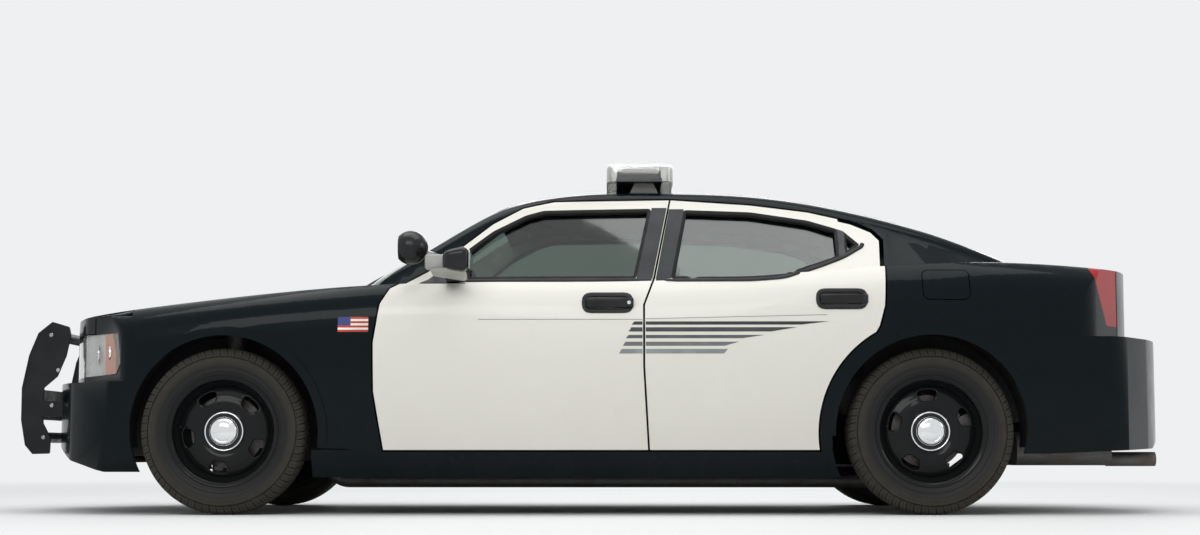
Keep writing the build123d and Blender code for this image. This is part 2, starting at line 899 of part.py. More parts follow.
def turned(profile, aft, middle_y, z=None):
    """A form of (offset outwards, radius) points turned about the wheel's axis."""
    centre = (at(aft), middle_y, axle_height if z is None else z)
    with BuildPart() as form:
        with BuildSketch(Plane(centre, x_dir=(0, 1, 0), z_dir=(1, 0, 0))):
            with BuildLine():
                Polyline(profile, close=True)
            make_face()
        revolve(axis=Axis(centre, (0, 1, 0)))
    return form.part


# Wheels: offsets are from the wheel's middle plane, outwards
half_track = track / 2
seat_half = rim_width / 2 - 9
lip_half = rim_width / 2
lip_radius = rim_radius + rim_lip
rim_wall = 9
well_radius = 205
disc_radius = 198
spindle_radius = 28
rotor_radius = 160
rotor_offset = -40
rotor_wall = 22
hub_radius = 78
hub_inner = rotor_offset - 2
bore_end = 3
spindle_end = 0
cap_radius = 86
cap_dome_radius = 64
vent_count = 5
vent_radius = 156
vent_width = 80
vent_height = 50
vent_turn = 85
rim_profile = (
    (-lip_half, lip_radius - 2),
    (-lip_half + 5, lip_radius),
    (-seat_half - 1, lip_radius),
    (-seat_half, rim_radius),
    (-52, rim_radius - 3),
    (-42, well_radius),
    (28, well_radius),
    (46, rim_radius - 3),
    (seat_half, rim_radius),
    (seat_half + 1, lip_radius),
    (lip_half - 5, lip_radius),
    (lip_half, lip_radius - 2),
    (lip_half, lip_radius - 10),
    (seat_half, rim_radius - rim_wall),
    (52, rim_radius - 3 - rim_wall),
    (36, well_radius - rim_wall),
    (-48, well_radius - rim_wall),
    (-58, rim_radius - 3 - rim_wall),
    (-seat_half, rim_radius - rim_wall),
    (-lip_half, lip_radius - 10),
)
disc_profile = (
    (26, well_radius - 2),
    (34, well_radius - 2),
    (46, 186),
    (58, 150),
    (62, 118),
    (54, cap_radius + 4),
    (54, 0),
    (44, 0),
    (44, cap_radius + 4),
    (52, 114),
    (48, 148),
    (37, 182),
)
hub_profile = (
    (hub_inner, spindle_radius + fit_gap),
    (hub_inner, hub_radius),
    (hub_inner, rotor_radius),
    (hub_inner + rotor_wall, rotor_radius),
    (hub_inner + rotor_wall, hub_radius),
    (46, hub_radius),
    (46, 0),
    (bore_end, 0),
    (bore_end, spindle_radius + fit_gap),
)
cap_profile = (
    (52, 0),
    (52, cap_radius),
    (66, cap_radius - 3),
    (66, cap_radius - 10),
    (60, cap_radius - 14),
    (60, cap_dome_radius + 4),
    (66, cap_dome_radius),
    (84, cap_dome_radius - 8),
    (94, cap_dome_radius - 30),
    (96, 0),
)
tyre_profile = (
    (-seat_half + 0.3, rim_radius + seat_gap),
    (-seat_half + 0.3, lip_radius),
    (-lip_half - 3, lip_radius + 6),
    (-tyre_width / 2 + 5, 275),
    (-tyre_width / 2, 300),
    (-tyre_width / 2 + 4, 325),
    (-tyre_width / 2 + 14, 342),
    (-tyre_width / 2 + 34, tyre_radius - 4),
    (-tyre_width / 2 + 55, tyre_radius),
    (tyre_width / 2 - 55, tyre_radius),
    (tyre_width / 2 - 34, tyre_radius - 4),
    (tyre_width / 2 - 14, 342),
    (tyre_width / 2 - 4, 325),
    (tyre_width / 2, 300),
    (tyre_width / 2 - 5, 275),
    (lip_half + 3, lip_radius + 6),
    (seat_half - 0.3, lip_radius),
    (seat_half - 0.3, rim_radius + seat_gap),
    (70, rim_radius + seat_gap),
    (80, 262),
    (98, 300),
    (84, 336),
    (-84, 336),
    (-98, 300),
    (-80, 262),
    (-70, rim_radius + seat_gap),
)


def wheel(aft, vent_start):
    form = turned(rim_profile, aft, half_track) + turned(disc_profile, aft, half_track)
    form += turned(hub_profile, aft, half_track)
    form += turned(cap_profile, aft, half_track)
    with BuildPart() as vents:
        with BuildSketch(Plane.XZ.offset(-half_track - 20)):
            with Locations((at(aft), axle_height)):
                with PolarLocations(vent_radius, vent_count, start_angle=vent_start):
                    RectangleRounded(vent_height, vent_width, 20)
        extrude(amount=-70)
    return form - vents.part


for name, aft, vent_start in (("front", 0, 60), ("rear", wheelbase, vent_turn)):
    save_pair(turned(tyre_profile, aft, half_track), f"tyre_{name}")
    save_pair(wheel(aft, vent_start), f"wheel_{name}")

# Knuckles: front ones turn about an upright pin held by two arms
kingpin_y = 725
arm_z = 188
arm_wall = 22
upper_arm_z = 500
upper_arm_wall = 18
pin_radius = 11
pin_boss = 30
knuckle_half = 32
knuckle_wall = 50
caliper_radius = 188
caliper_root = 105
caliper_wall = 14


def knuckle_shape(aft, low_z, high_z):
    with BuildPart() as post:
        with Locations((at(aft), kingpin_y, (low_z + high_z) / 2)):
            Box(2 * knuckle_half, knuckle_wall, high_z - low_z)
        fillet(post.edges().filter_by(Axis.Z), 12)
    form = post.part + cylinder_across(aft, axle_height, spindle_radius, kingpin_y, half_track + spindle_end)
    form += cylinder_across(aft, axle_height, 58, kingpin_y - knuckle_wall / 2, kingpin_y + knuckle_wall / 2)
    rotor_low = half_track + hub_inner
    rotor_high = rotor_low + rotor_wall
    # The caliper is a sector behind the axle, with a slot for the rotor.
    sector = prism(((aft, axle_height), (aft + 260, axle_height + 120), (aft + 260, axle_height - 120)), 600, 900)
    ring = cylinder_across(aft, axle_height, caliper_radius, rotor_low - 40, rotor_high + caliper_wall + 5)
    ring -= cylinder_across(aft, axle_height, caliper_root, 600, 900)
    caliper = ring & sector
    caliper -= cylinder_across(aft, axle_height, rotor_radius + 5, rotor_low - 5, rotor_high + 5)
    form += caliper
    form += slab(aft, aft + 120, rotor_low - 40, rotor_low - 18, axle_height - 30, axle_height + 30)
    return form


knuckle = knuckle_shape(0, arm_z + arm_wall + seat_gap, upper_arm_z - seat_gap)
for pin_z in (arm_z + arm_wall, upper_arm_z - 30):
    knuckle -= upright(0, kingpin_y, pin_radius + fit_gap, pin_z, pin_z + 30)
save_pair(knuckle, "knuckle_front")


def arm(aft, root_half, low, high, root_y=425):
    points = (
        (aft - root_half, root_y),
        (aft + root_half, root_y),
        (aft + 60, (root_y + kingpin_y) / 2),
        (aft + pin_boss, kingpin_y - 20),
        (aft - pin_boss, kingpin_y - 20),
        (aft - 60, (root_y + kingpin_y) / 2),
    )
    return plan_prism(points, low, high) + upright(aft, kingpin_y, pin_boss, low, high)


strut_y = 575
front_frame_z = 170
subframe = arm(0, 130, arm_z, arm_z + arm_wall) + arm(0, 95, upper_arm_z, upper_arm_z + upper_arm_wall)
subframe += upright(0, kingpin_y, pin_radius, arm_z, arm_z + arm_wall + 28)
subframe += upright(0, kingpin_y, pin_radius, upper_arm_z - 28, upper_arm_z + 5)
subframe += slab(-130, 130, 400, 440, front_frame_z, upper_arm_z + upper_arm_wall)
subframe += bar_between((0, 618, arm_z + 10), (0, strut_y, 560), 22)
subframe += upright(0, strut_y, 46, 550, 790 - seat_gap)
subframe += other_side(subframe)
subframe += slab(-130, 130, -430, 430, front_frame_z, 230)
save(subframe, "front_subframe")

rear_strut_y = 608
rear_frame_top = boot_floor_z - 8
rear_frame = arm(wheelbase, 150, arm_z + 10, arm_z + 10 + arm_wall)
rear_frame += arm(wheelbase, 80, 480, 500, 585)
rear_frame += knuckle_shape(wheelbase, arm_z + 20, 490)
rear_frame += upright(wheelbase, rear_strut_y, 36, arm_z + 20, 600 - seat_gap)
rear_frame += cylinder_across(wheelbase, axle_height, 18, 130, kingpin_y)
rear_frame += slab(wheelbase - 140, wheelbase + 140, 380, 430, arm_z, rear_frame_top)
rear_frame += other_side(rear_frame)
rear_frame += slab(wheelbase - 60, wheelbase + 140, -430, 430, 250, 300)
rear_frame += slab(wheelbase - 130, wheelbase + 110, -130, 130, 255, rear_frame_top)
save(rear_frame, "rear_subframe")

# Engine, drive line and exhaust
engine_front = -470
engine_back = 380
with BuildPart() as engine_block:
    with Locations((at((engine_front + engine_back) / 2), 0, (230 + seat_gap + 800) / 2)):
        Box(engine_back - engine_front, 600, 570 - seat_gap)
    chamfer(engine_block.edges().filter_by(Axis.X), 70)
engine = engine_block.part + slab(engine_front + 60, engine_back - 60, -210, 210, 780, 850)
radiator = slab(-600, -540, seat_gap - rail_y, rail_y - seat_gap, 250, 715)
save(Compound(children=[engine, radiator]), "engine_and_radiator")

gearbox_end = 1150
shaft_radius = 36
shaft_z = 330
shaft_end = wheelbase - 130 - seat_gap
gearbox = bar_between((engine_back + seat_gap, 0, shaft_z), (gearbox_end, 0, shaft_z), 98, 64)
shaft = bar_between((gearbox_end, 0, shaft_z), (shaft_end, 0, shaft_z), shaft_radius)
save(gearbox + shaft, "driveline")

pipe_radius = 30
pipe_y = 270
pipe_z = 138
muffler = (3480, 3900)
tip_end = 4120
tip_radius = 32
tip_z = 238
with BuildPart() as muffler_form:
    with BuildSketch(section_plane(muffler[1])):
        with Locations((pipe_y + 120, 285)):
            RectangleRounded(320, 150, 60)
    extrude(amount=muffler[1] - muffler[0])
exhaust = muffler_form.part
exhaust_path = (
    (engine_back - 60, 225),
    (engine_back + 60, pipe_z),
    (3280, pipe_z),
    (3480, 285),
)
with BuildPart() as pipe_form:
    with BuildLine(Plane.XZ.offset(-pipe_y)) as route:
        FilletPolyline(*[(at(aft), z) for aft, z in exhaust_path], radius=90)
    with BuildSketch(Plane(route.line @ 0, z_dir=route.line % 0)):
        Circle(pipe_radius)
    sweep()
exhaust += pipe_form.part
exhaust += bar_between((muffler[1], pipe_y + 160, tip_z), (tip_end, pipe_y + 160, tip_z), tip_radius)
# Hangers reach up to the floor and the boot floor.
for hanger_aft, foot_z, top_z in ((1500, pipe_z, floor_z), (3700, 350, boot_floor_z)):
    hanger_y = pipe_y if foot_z == pipe_z else pipe_y + 120
    exhaust += slab(hanger_aft - 15, hanger_aft + 15, hanger_y - 5, hanger_y + 5, foot_z, top_z - seat_gap)
save_both(exhaust, "exhaust")

# Inside the cabin
dash_outline = (
    (firewall_aft + sheet + seat_gap, 640),
    (firewall_aft + sheet + seat_gap, 930),
    (700, 985),
    (860, 1000),
    (985, 960),
    (1000, 900),
    (940, 760),
    (860, 640),
)
dash = prism(dash_outline, -800, 800) & middle(frame_wall + seat_gap, upper_frame_wall + seat_gap)
wheel_tilt = 26
wheel_y = 375
wheel_aft = 1105
wheel_z = 930
column_radius = 28
tilt = radians(wheel_tilt)
wheel_centre = (at(wheel_aft), wheel_y, wheel_z)
wheel_plane = Plane(wheel_centre, x_dir=(sin(tilt), 0, cos(tilt)), z_dir=(-cos(tilt), 0, sin(tilt)))
with BuildPart(wheel_plane) as column_bore:
    with Locations((0, 0, -210)):
        Cylinder(column_radius + seat_gap, 400)
save(dash - column_bore.part, "dashboard")

with BuildPart(wheel_plane) as hand_wheel:
    Torus(178, 15)
    Cylinder(52, 40)
    with PolarLocations(95, 3, start_angle=90):
        Box(150, 34, 16)
    with Locations((0, 0, -110)):
        Cylinder(column_radius, 190)
save(hand_wheel.part, "steering_wheel")

seat_rounding = 30
back_lean = radians(18)
seat_floor = floor_z + sheet + seat_gap


def pad(aft, y, z, lean, lift, thickness, width, height):
    """A cushion with rounded edges, raised by lift along a plane that leans back from its foot."""
    foot = Plane((at(aft), y, z), x_dir=(cos(lean), 0, sin(lean)), z_dir=(-sin(lean), 0, cos(lean)))
    with BuildPart(foot) as form:
        with Locations((0, 0, lift)):
            Box(thickness, width, height)
        fillet(form.edges(), seat_rounding)
    return form.part


seats = []
for y in (wheel_y, -wheel_y):
    seat = pad(1500, y, 385, 0, 0, 520, 500, 150)
    seat += slab(1300, 1700, y - 210, y + 210, seat_floor, 320)
    seat += pad(1730, y, 400, back_lean, 310, 120, 500, 620)
    seat += pad(1730, y, 400, back_lean, 690, 90, 260, 160)
    seats.append(seat)
with BuildPart() as bench:
    with Locations((at(2380), 0, (seat_floor + 470) / 2)):
        Box(500, 1180, 470 - seat_floor)
    fillet(bench.edges().filter_by(Axis.X), seat_rounding)
tunnel_clear = slab(500, 2900, -tunnel_half - moving_gap, tunnel_half + moving_gap, 0, tunnel_top + moving_gap)
rear_bench = bench.part + pad(2570, 0, 420, back_lean, 280, 120, 1100, 560)
save(Compound(children=[*seats, rear_bench - tunnel_clear]), "seats")

# Push bumper
guard_y = 400
guard_wall = 14
guard_outline = (
    (-877, 861),
    (-800, 838),
    (-792, 800),
    (-812, 705),
    (-850, 612),
    (-910, 560),
    (-910, 400),
    (-875, 334),
    (-877, 262),
    (-955, 260),
    (-990, 301),
    (-front_overhang - push_bumper_reach, 415),
    (-front_overhang - push_bumper_reach, 560),
    (-980, 710),
    (-940, 810),
)
guard = prism(guard_outline, guard_y, guard_y + guard_wall, 8)
guard += other_side(guard)
for aft, z, radius in ((-880, 800, 24), (-905, 335, 24)):
    guard += cylinder_across(aft, z, radius, -guard_y - 4, guard_y + 4)
guard_front = -front_overhang - push_bumper_reach
guard += slab(guard_front + 6, guard_front + 16, -guard_y, guard_y, 420, 560)
for sign in (1, -1):
    guard += slab(-920, -820, *sorted((sign * guard_y, sign * (guard_y + guard_wall))), 430, 500)
guard -= whole(-seat_gap, 0)
save(guard, "push_bumper")

# Light bar
bar_half = 590
bar_front = 1651
bar_back = 1952
bar_low = 1492
bar_high = 1562
foot_y = 500


def bar_form(amount, low, high):
    with BuildPart() as form:
        with BuildSketch(Plane.XY.offset(low)):
            with Locations((at((bar_front + bar_back) / 2), 0)):
                RectangleRounded(bar_back - bar_front - 2 * amount, 2 * bar_half - 2 * amount, 60)
        extrude(amount=high - low)
    return form.part


bar_lens = fillet(bar_form(0, bar_low, bar_high).edges().group_by(Axis.Z)[-1], 22)
bar_tray = bar_form(12, bar_low - 14, bar_low - seat_gap)
for sign in (1, -1):
    foot = slab(1780, 1890, *sorted((sign * (foot_y - 30), sign * (foot_y + 30))), 1380, bar_low - 10)
    bar_tray += foot
bar_tray -= middle(-seat_gap, -seat_gap)
save(bar_lens, "lightbar_lens")
save(bar_tray, "lightbar_base")

# Spotlight on the left pillar
spot_radius = 74
spot_aft, spot_y, spot_z = 807, 905, 1150
spot_face = 54
with BuildPart() as lamp:
    with Locations((at(spot_aft), spot_y, spot_z)):
        Sphere(spot_radius)
    with Locations((at(spot_aft) + spot_face + 50, spot_y, spot_z)):
        Box(100, 300, 300, mode=Mode.SUBTRACT)
spotlight = lamp.part + bar_between((spot_aft, spot_y - 30, spot_z - 10), (905, 690, 1130), 13)
save(spotlight - middle(-seat_gap, -seat_gap), "spotlight")

# Door mirrors
mirror_front = 950
mirror_back = 1069
with BuildPart() as shell:
    with BuildSketch(section_plane(mirror_back)):
        with Locations((1000, 1078)):
            RectangleRounded(190, 130, 45)
    extrude(amount=mirror_back - mirror_front, taper=6)
mirror_form = shell.part
mirror_form -= slab(mirror_back - 6, mirror_back + 6, 920, 1080, 1028, 1128)
mirror_form += slab(880, mirror_front + 30, 960, 1030, 1045, 1105)
mirror_form += slab(970, 1030, 800, 930, 1045, 1085)
mirror_form -= side(-seat_gap, -seat_gap)
save_pair(mirror_form, "mirror")
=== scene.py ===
import json
import math

import bmesh
import bpy
from mathutils import Matrix, Vector
from mathutils.bvhtree import BVHTree


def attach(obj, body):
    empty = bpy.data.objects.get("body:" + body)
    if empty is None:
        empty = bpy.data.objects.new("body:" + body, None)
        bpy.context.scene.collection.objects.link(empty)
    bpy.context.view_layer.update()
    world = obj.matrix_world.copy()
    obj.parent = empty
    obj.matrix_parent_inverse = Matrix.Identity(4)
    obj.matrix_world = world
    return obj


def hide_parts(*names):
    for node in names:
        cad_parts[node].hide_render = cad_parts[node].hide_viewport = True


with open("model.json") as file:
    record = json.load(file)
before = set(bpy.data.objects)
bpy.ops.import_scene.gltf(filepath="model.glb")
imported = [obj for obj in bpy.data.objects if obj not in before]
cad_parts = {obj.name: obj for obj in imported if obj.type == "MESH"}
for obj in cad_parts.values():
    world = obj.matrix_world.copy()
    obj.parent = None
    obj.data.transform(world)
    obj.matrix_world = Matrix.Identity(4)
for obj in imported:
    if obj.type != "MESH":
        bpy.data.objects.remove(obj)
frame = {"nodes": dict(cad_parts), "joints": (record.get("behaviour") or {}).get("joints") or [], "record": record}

print("frame loaded")
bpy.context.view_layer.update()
record = frame["record"]
bodyOf = {node: body for body, nodes in record["behaviour"]["bodies"].items() for node in nodes}
slotOf = {part["node"]: part["material_slot"] for part in record["subparts"]}
jointPlace = {joint["name"]: Vector(joint["pos_m"]) for joint in frame["joints"]}
frontAxle = jointPlace["front_left_wheel_spin"]
sides = ((1, "Left"), (-1, "Right"))
doors = [(end, side, word, f"door_{end}_{word.lower()}") for side, word in sides for end in ("front", "rear")]
doorsByEnd = sorted(doors, key=lambda door: door[0])
acrossCar = Matrix.Scale(-1, 4, (0, 1, 0))
mergeDistance = 0.00002
materials = {}


# Places along the car are given as "aft", the distance in metres behind the front axle.
def xAt(aft):
    return frontAxle.x - aft


def turned(degrees, axis):
    return Matrix.Rotation(math.radians(degrees), 4, axis)


def addObject(name, data):
    made = bpy.data.objects.new(name, data)
    bpy.context.scene.collection.objects.link(made)
    return made


# Nodes and materials. Each material reads Object coordinates, so that a pattern keeps its real scale.


# Makes a node: an input that is a socket is linked, any other is set as its value.
def addNode(tree, kind, inputs=None, **settings):
    node = tree.nodes.new(kind)
    for name, value in settings.items():
        setattr(node, name, value)
    for socket, value in (inputs or {}).items():
        if isinstance(value, bpy.types.NodeSocket):
            tree.links.new(value, node.inputs[socket])
        else:
            node.inputs[socket].default_value = value
    return node.outputs


def maths(tree, operation, first, second):
    return addNode(tree, "ShaderNodeMath", {0: first, 1: second}, operation=operation)[0]


def remap(tree, value, low, high, newLow, newHigh):
    inputs = {"Value": value, "From Min": low, "From Max": high, "To Min": newLow, "To Max": newHigh}
    return addNode(tree, "ShaderNodeMapRange", inputs)[0]


def mixColours(tree, factor, *colours):
    first, second = (c if isinstance(c, bpy.types.NodeSocket) else (*c, 1) for c in colours)
    return addNode(tree, "ShaderNodeMix", {0: factor, 6: first, 7: second}, data_type="RGBA")[2]


def objectPlace(tree):
    return addNode(tree, "ShaderNodeTexCoord")["Object"]


def noise(tree, scale, detail=3.0, stretch=(1, 1, 1)):
    place = addNode(tree, "ShaderNodeMapping", {"Vector": objectPlace(tree), "Scale": stretch})[0]
    return addNode(tree, "ShaderNodeTexNoise", {"Vector": place, "Scale": scale, "Detail": detail})[0]


def bump(tree, height, strength, distance):
    return addNode(tree, "ShaderNodeBump", {"Height": height, "Strength": strength, "Distance": distance})[0]


def newMaterial(name, colour, roughness=0.5, metallic=0.0, **sockets):
    material = materials[name] = bpy.data.materials.new(name)
    material.use_nodes = True
    sockets.update(Base_Color=(*colour, 1), Roughness=roughness, Metallic=metallic)
    for socket, value in sockets.items():
        material.node_tree.nodes["Principled BSDF"].inputs[socket.replace("_", " ")].default_value = value
    return material.node_tree


# Links patterns to the main shader's sockets.
def feed(tree, **sockets):
    for socket, value in sockets.items():
        tree.links.new(value, tree.nodes["Principled BSDF"].inputs[socket.replace("_", " ")])


# Road dust that fades upwards: a factor from amount at the low height to nothing at the high one.
def heightDust(tree, low, high, amount):
    height = addNode(tree, "ShaderNodeSeparateXYZ", {0: objectPlace(tree)})["Z"]
    patches = remap(tree, noise(tree, 3.1, 5), 0.3, 0.7, 0.35, 1.0)
    return maths(tree, "MULTIPLY", remap(tree, height, low, high, amount, 0), patches)


def paint(name, colour, dustColour, dust, roughness=0.28, coat=0.7, shine=0.12):
    coating = {"Coat_Weight": coat, "Coat_Roughness": 0.03, "Coat_IOR": 1.28, "Specular_IOR_Level": shine}
    tree = newMaterial(name, colour, roughness, **coating)
    feed(
        tree,
        Base_Color=mixColours(tree, heightDust(tree, 0.15, 0.8, dust), colour, dustColour),
        Roughness=remap(tree, noise(tree, 7, 4), 0.3, 0.7, roughness - 0.05, roughness + 0.08),
        Normal=bump(tree, noise(tree, 260, 1), 0.03, 0.0004),
    )


def plastic(name, colour, roughness, grain=900, depth=0.00025, strength=0.4):
    tree = newMaterial(name, colour, roughness, IOR=1.32)
    lighter = [min(1, c * 1.35 + 0.006) for c in colour]
    feed(
        tree,
        Base_Color=mixColours(tree, remap(tree, noise(tree, 9, 5), 0.35, 0.7, 0, 1), colour, lighter),
        Roughness=remap(tree, noise(tree, 30, 3), 0.3, 0.7, roughness - 0.07, roughness + 0.07),
        Normal=bump(tree, noise(tree, grain, 2), strength, depth),
    )


# Rubber whose dust follows the mesh's own "dust" attribute, from 0 at the rim to 1 at the tread.
def dustyRubber(name, colour, dustColour):
    tree = newMaterial(name, colour, 0.75, IOR=1.32)
    share = addNode(tree, "ShaderNodeAttribute", attribute_name="dust")["Fac"]
    dust = maths(tree, "MULTIPLY", share, remap(tree, noise(tree, 26, 5), 0.3, 0.7, 0.6, 1.0))
    feed(
        tree,
        Base_Color=mixColours(tree, dust, colour, dustColour),
        Roughness=remap(tree, dust, 0, 1, 0.5, 0.9),
        Normal=bump(tree, noise(tree, 220, 2), 0.5, 0.0007),
    )


def metal(name, colour, roughness, grain, depth, stretch=(1, 1, 1), stain=0.0, stainColour=(0.1, 0.05, 0.03)):
    tree = newMaterial(name, colour, roughness, 1.0)
    grains = noise(tree, grain, 3, stretch)
    rough = remap(tree, grains, 0.25, 0.75, roughness * 0.7, min(1, roughness * 1.4))
    feed(tree, Roughness=rough, Normal=bump(tree, grains, 0.25, depth))
    if stain:
        spans = ((0, stain), (1, 1 - stain))
        stained, bare = (remap(tree, noise(tree, 14, 6), 0.45, 0.72, *span) for span in spans)
        feed(tree, Base_Color=mixColours(tree, stained, colour, stainColour), Metallic=bare)


def clearPlastic(name, colour, roughness=0.03, transmission=1.0, index=1.46, coat=0.5, ribs=0):
    tree = newMaterial(name, colour, roughness, IOR=index, Transmission_Weight=transmission, Coat_Weight=coat)
    feed(tree, Roughness=remap(tree, noise(tree, 22, 4), 0.35, 0.75, roughness, roughness + 0.05))
    if ribs:
        feed(tree, Normal=bump(tree, noise(tree, ribs, 0, (1, 1, 0.02)), 0.3, 0.0006))


# Woven cloth: two crossed wave patterns at the size of its yarns.
def cloth(name, colour, thread, weave=1400, sheen=0.35):
    tree = newMaterial(name, colour, 0.85, Sheen_Weight=sheen, Sheen_Roughness=0.5)
    inputs = {"Vector": objectPlace(tree), "Scale": weave / 6.28, "Distortion": 0.6}
    waves = [addNode(tree, "ShaderNodeTexWave", inputs, bands_direction=axis)[0] for axis in "XY"]
    cross = maths(tree, "MULTIPLY", *waves)
    tone = mixColours(tree, cross, colour, thread)
    faded = mixColours(tree, remap(tree, noise(tree, 6, 5), 0.35, 0.75, 0, 0.5), tone, thread)
    feed(tree, Base_Color=faded, Normal=bump(tree, cross, 0.5, 0.0006))


stripeTones = (0.030, 0.052, 0.095, 0.155, 0.24)
finishes = {
    paint: {  # colour, dust's colour, dust, roughness, coat, shine
        # The black paint's base colour is tinted teal: a painted sheen that stands in for the sky's teal
        # reflection on black paint.
        "blackPaint": ((0.0016, 0.005, 0.0068), (0.05, 0.048, 0.042), 0.08, 0.25, 0.38, 0.04),
        "whitePaint": ((0.78, 0.755, 0.685), (0.52, 0.48, 0.41), 0.22, 0.3),
        "wheelPaint": ((0.005, 0.006, 0.007), (0.09, 0.075, 0.055), 0.07, 0.3, 0.6, 0.06),
    },
    plastic: {  # colour, roughness, grain, depth, strength
        "trimPlastic": ((0.01, 0.011, 0.012), 0.42),
        "roughPlastic": ((0.022, 0.022, 0.022), 0.68, 500, 0.0006, 0.6),
        "greyPlastic": ((0.075, 0.077, 0.08), 0.6),
        "cabinPlastic": ((0.05, 0.05, 0.052), 0.62, 700, 0.0004, 0.55),
        "palePlastic": ((0.62, 0.62, 0.58), 0.45),
        "seal": ((0.01, 0.01, 0.01), 0.75, 300, 0.0003),
        "underCoat": ((0.016, 0.016, 0.015), 0.85, 160, 0.0014, 0.6),
        "pillarGrey": ((0.026, 0.028, 0.031), 0.35),
        "glossPlastic": ((0.01, 0.01, 0.011), 0.18, 300, 0.00005, 0.1),
        "lampSilver": ((0.52, 0.53, 0.52), 0.3, 200, 0.0001, 0.2),
        "lampRedBack": ((0.36, 0.01, 0.008), 0.3, 200, 0.0001, 0.2),
        "decalRed": ((0.42, 0.045, 0.03), 0.35),
        "decalWhite": ((0.75, 0.72, 0.64), 0.35),
        "decalBlue": ((0.035, 0.05, 0.17), 0.35),
        "mirrorGrey": ((0.33, 0.33, 0.31), 0.42),
        "footGrey": ((0.2, 0.2, 0.185), 0.5),
        "guardPaint": ((0.004, 0.005, 0.006), 0.36, 320, 0.0002, 0.2),
        "bodyUnderside": ((0.02, 0.021, 0.021), 0.6, 200, 0.0006, 0.4),
        "plate": ((0.66, 0.66, 0.62), 0.4),
        **{f"stripe{n + 1}": ((tone, tone * 1.06, tone * 1.08), 0.35) for n, tone in enumerate(stripeTones)},
    },
    dustyRubber: {"tyreRubber": ((0.009, 0.009, 0.009), (0.048, 0.043, 0.034))},
    metal: {  # colour, roughness, grain, depth, grain's stretch, stain, stain's colour
        "chrome": ((0.78, 0.79, 0.8), 0.07, 60, 0.00004),
        "steel": ((0.42, 0.42, 0.43), 0.38, 240, 0.0002, (1, 1, 1), 0.45),
        "rotorSteel": ((0.11, 0.105, 0.1), 0.42, 160, 0.0002, (1, 6, 1), 0.6, (0.05, 0.025, 0.015)),
        "castIron": ((0.17, 0.165, 0.16), 0.62, 180, 0.0008, (1, 1, 1), 0.7, (0.08, 0.05, 0.035)),
        "aluminium": ((0.62, 0.63, 0.64), 0.34, 300, 0.00015),
        "reflector": ((0.82, 0.82, 0.8), 0.12, 40, 0.00005),
        "mirrorGlass": ((0.86, 0.88, 0.89), 0.02, 20, 0.00001),
        "radiatorCore": ((0.22, 0.22, 0.22), 0.5, 700, 0.0008, (1, 1, 0.05)),
    },
    clearPlastic: {  # colour, roughness, transmission, index, coat, ribs
        "windowGlass": ((0.25, 0.31, 0.28), 0.015),
        "screenGlass": ((0.62, 0.72, 0.67), 0.015),
        "clearLens": ((0.93, 0.94, 0.92), 0.03),
        "domeLens": ((0.86, 0.87, 0.84), 0.1, 1.0, 1.46, 0.5, 90),
        "redLens": ((0.46, 0.01, 0.008), 0.06, 0.2, 1.22, 0.12),
        "amberLens": ((0.72, 0.22, 0.08), 0.1, 0.12, 1.18, 0.0),
    },
    cloth: {  # colour, thread, weave, sheen
        "seatCloth": ((0.02, 0.021, 0.023), (0.052, 0.054, 0.058)),
        "carpet": ((0.018, 0.018, 0.019), (0.045, 0.045, 0.047), 500, 0.6),
        "headliner": ((0.3, 0.3, 0.28), (0.38, 0.38, 0.36), 900, 0.3),
    },
}


# Camera, light and floor


photoCamera = {
    "place": (-0.107, 9.73, 0.265),
    "focalPixels": 2050,
    "imageWidth": 1200,
    "sensorWidth": 36,
    "tiltUp": 5.17,
    "turn": 0.475,
}


def addCamera():
    look = photoCamera
    data = bpy.data.cameras.new("camera")
    data.sensor_width = look["sensorWidth"]
    data.lens = look["focalPixels"] / look["imageWidth"] * look["sensorWidth"]
    camera = addObject("camera", data)
    camera.location = look["place"]
    camera.rotation_euler = (math.radians(90 + look["tiltUp"]), 0, math.radians(180 + look["turn"]))
    bpy.context.scene.camera = camera


studio = {
    "floorColour": (0.8, 0.8, 0.79),
    "floorReach": 60,
    "floorFade": (3.5, 11.0),
    "skyTop": (0.92, 0.96, 1.0),
    "skyLow": (0.42, 0.44, 0.45),
    "skyHeights": (-0.05, 0.75),
    "skyStrength": 0.62,
    "backdrop": (0.86, 0.87, 0.88),
    "lamps": (  # name, place, target, size x, size y, watts
        ("overhead", (0.3, 0.6, 6.2), (0, 0, 0.6), 7.5, 3.6, 220),
        ("nearSide", (1.8, 7.5, 4.8), (0, 0.4, 0.5), 6.0, 2.6, 190),
        ("farSide", (-1.5, -7.5, 4.6), (0, -0.4, 0.5), 6.0, 2.4, 130),
        ("tailEnd", (-7.5, 1.5, 3.4), (-1.5, 0, 0.6), 3.0, 2.2, 60),
    ),
}


# 1 for every kind of ray that should see the pale backdrop.
def backdropRays(tree, first, *others):
    path = addNode(tree, "ShaderNodeLightPath")
    seen = path[first]
    for kind in others:
        seen = maths(tree, "MAXIMUM", seen, path[kind])
    return seen


def mixShaders(tree, share, first, second):
    return addNode(tree, "ShaderNodeMixShader", {0: share, 1: first, 2: second})[0]


# The floor fades into the backdrop far behind the car, so that no horizon shows.
def fadeFloor(tree):
    length = addNode(tree, "ShaderNodeVectorMath", {0: objectPlace(tree)}, operation="LENGTH")["Value"]
    far = remap(tree, length, *studio["floorFade"], 0, 1)
    share = maths(tree, "MULTIPLY", far, backdropRays(tree, "Is Camera Ray", "Is Glossy Ray"))
    glowing = addNode(tree, "ShaderNodeEmission", {"Color": (*studio["backdrop"], 1)})[0]
    faded = mixShaders(tree, share, tree.nodes["Principled BSDF"].outputs[0], glowing)
    tree.links.new(faded, tree.nodes["Material Output"].inputs["Surface"])


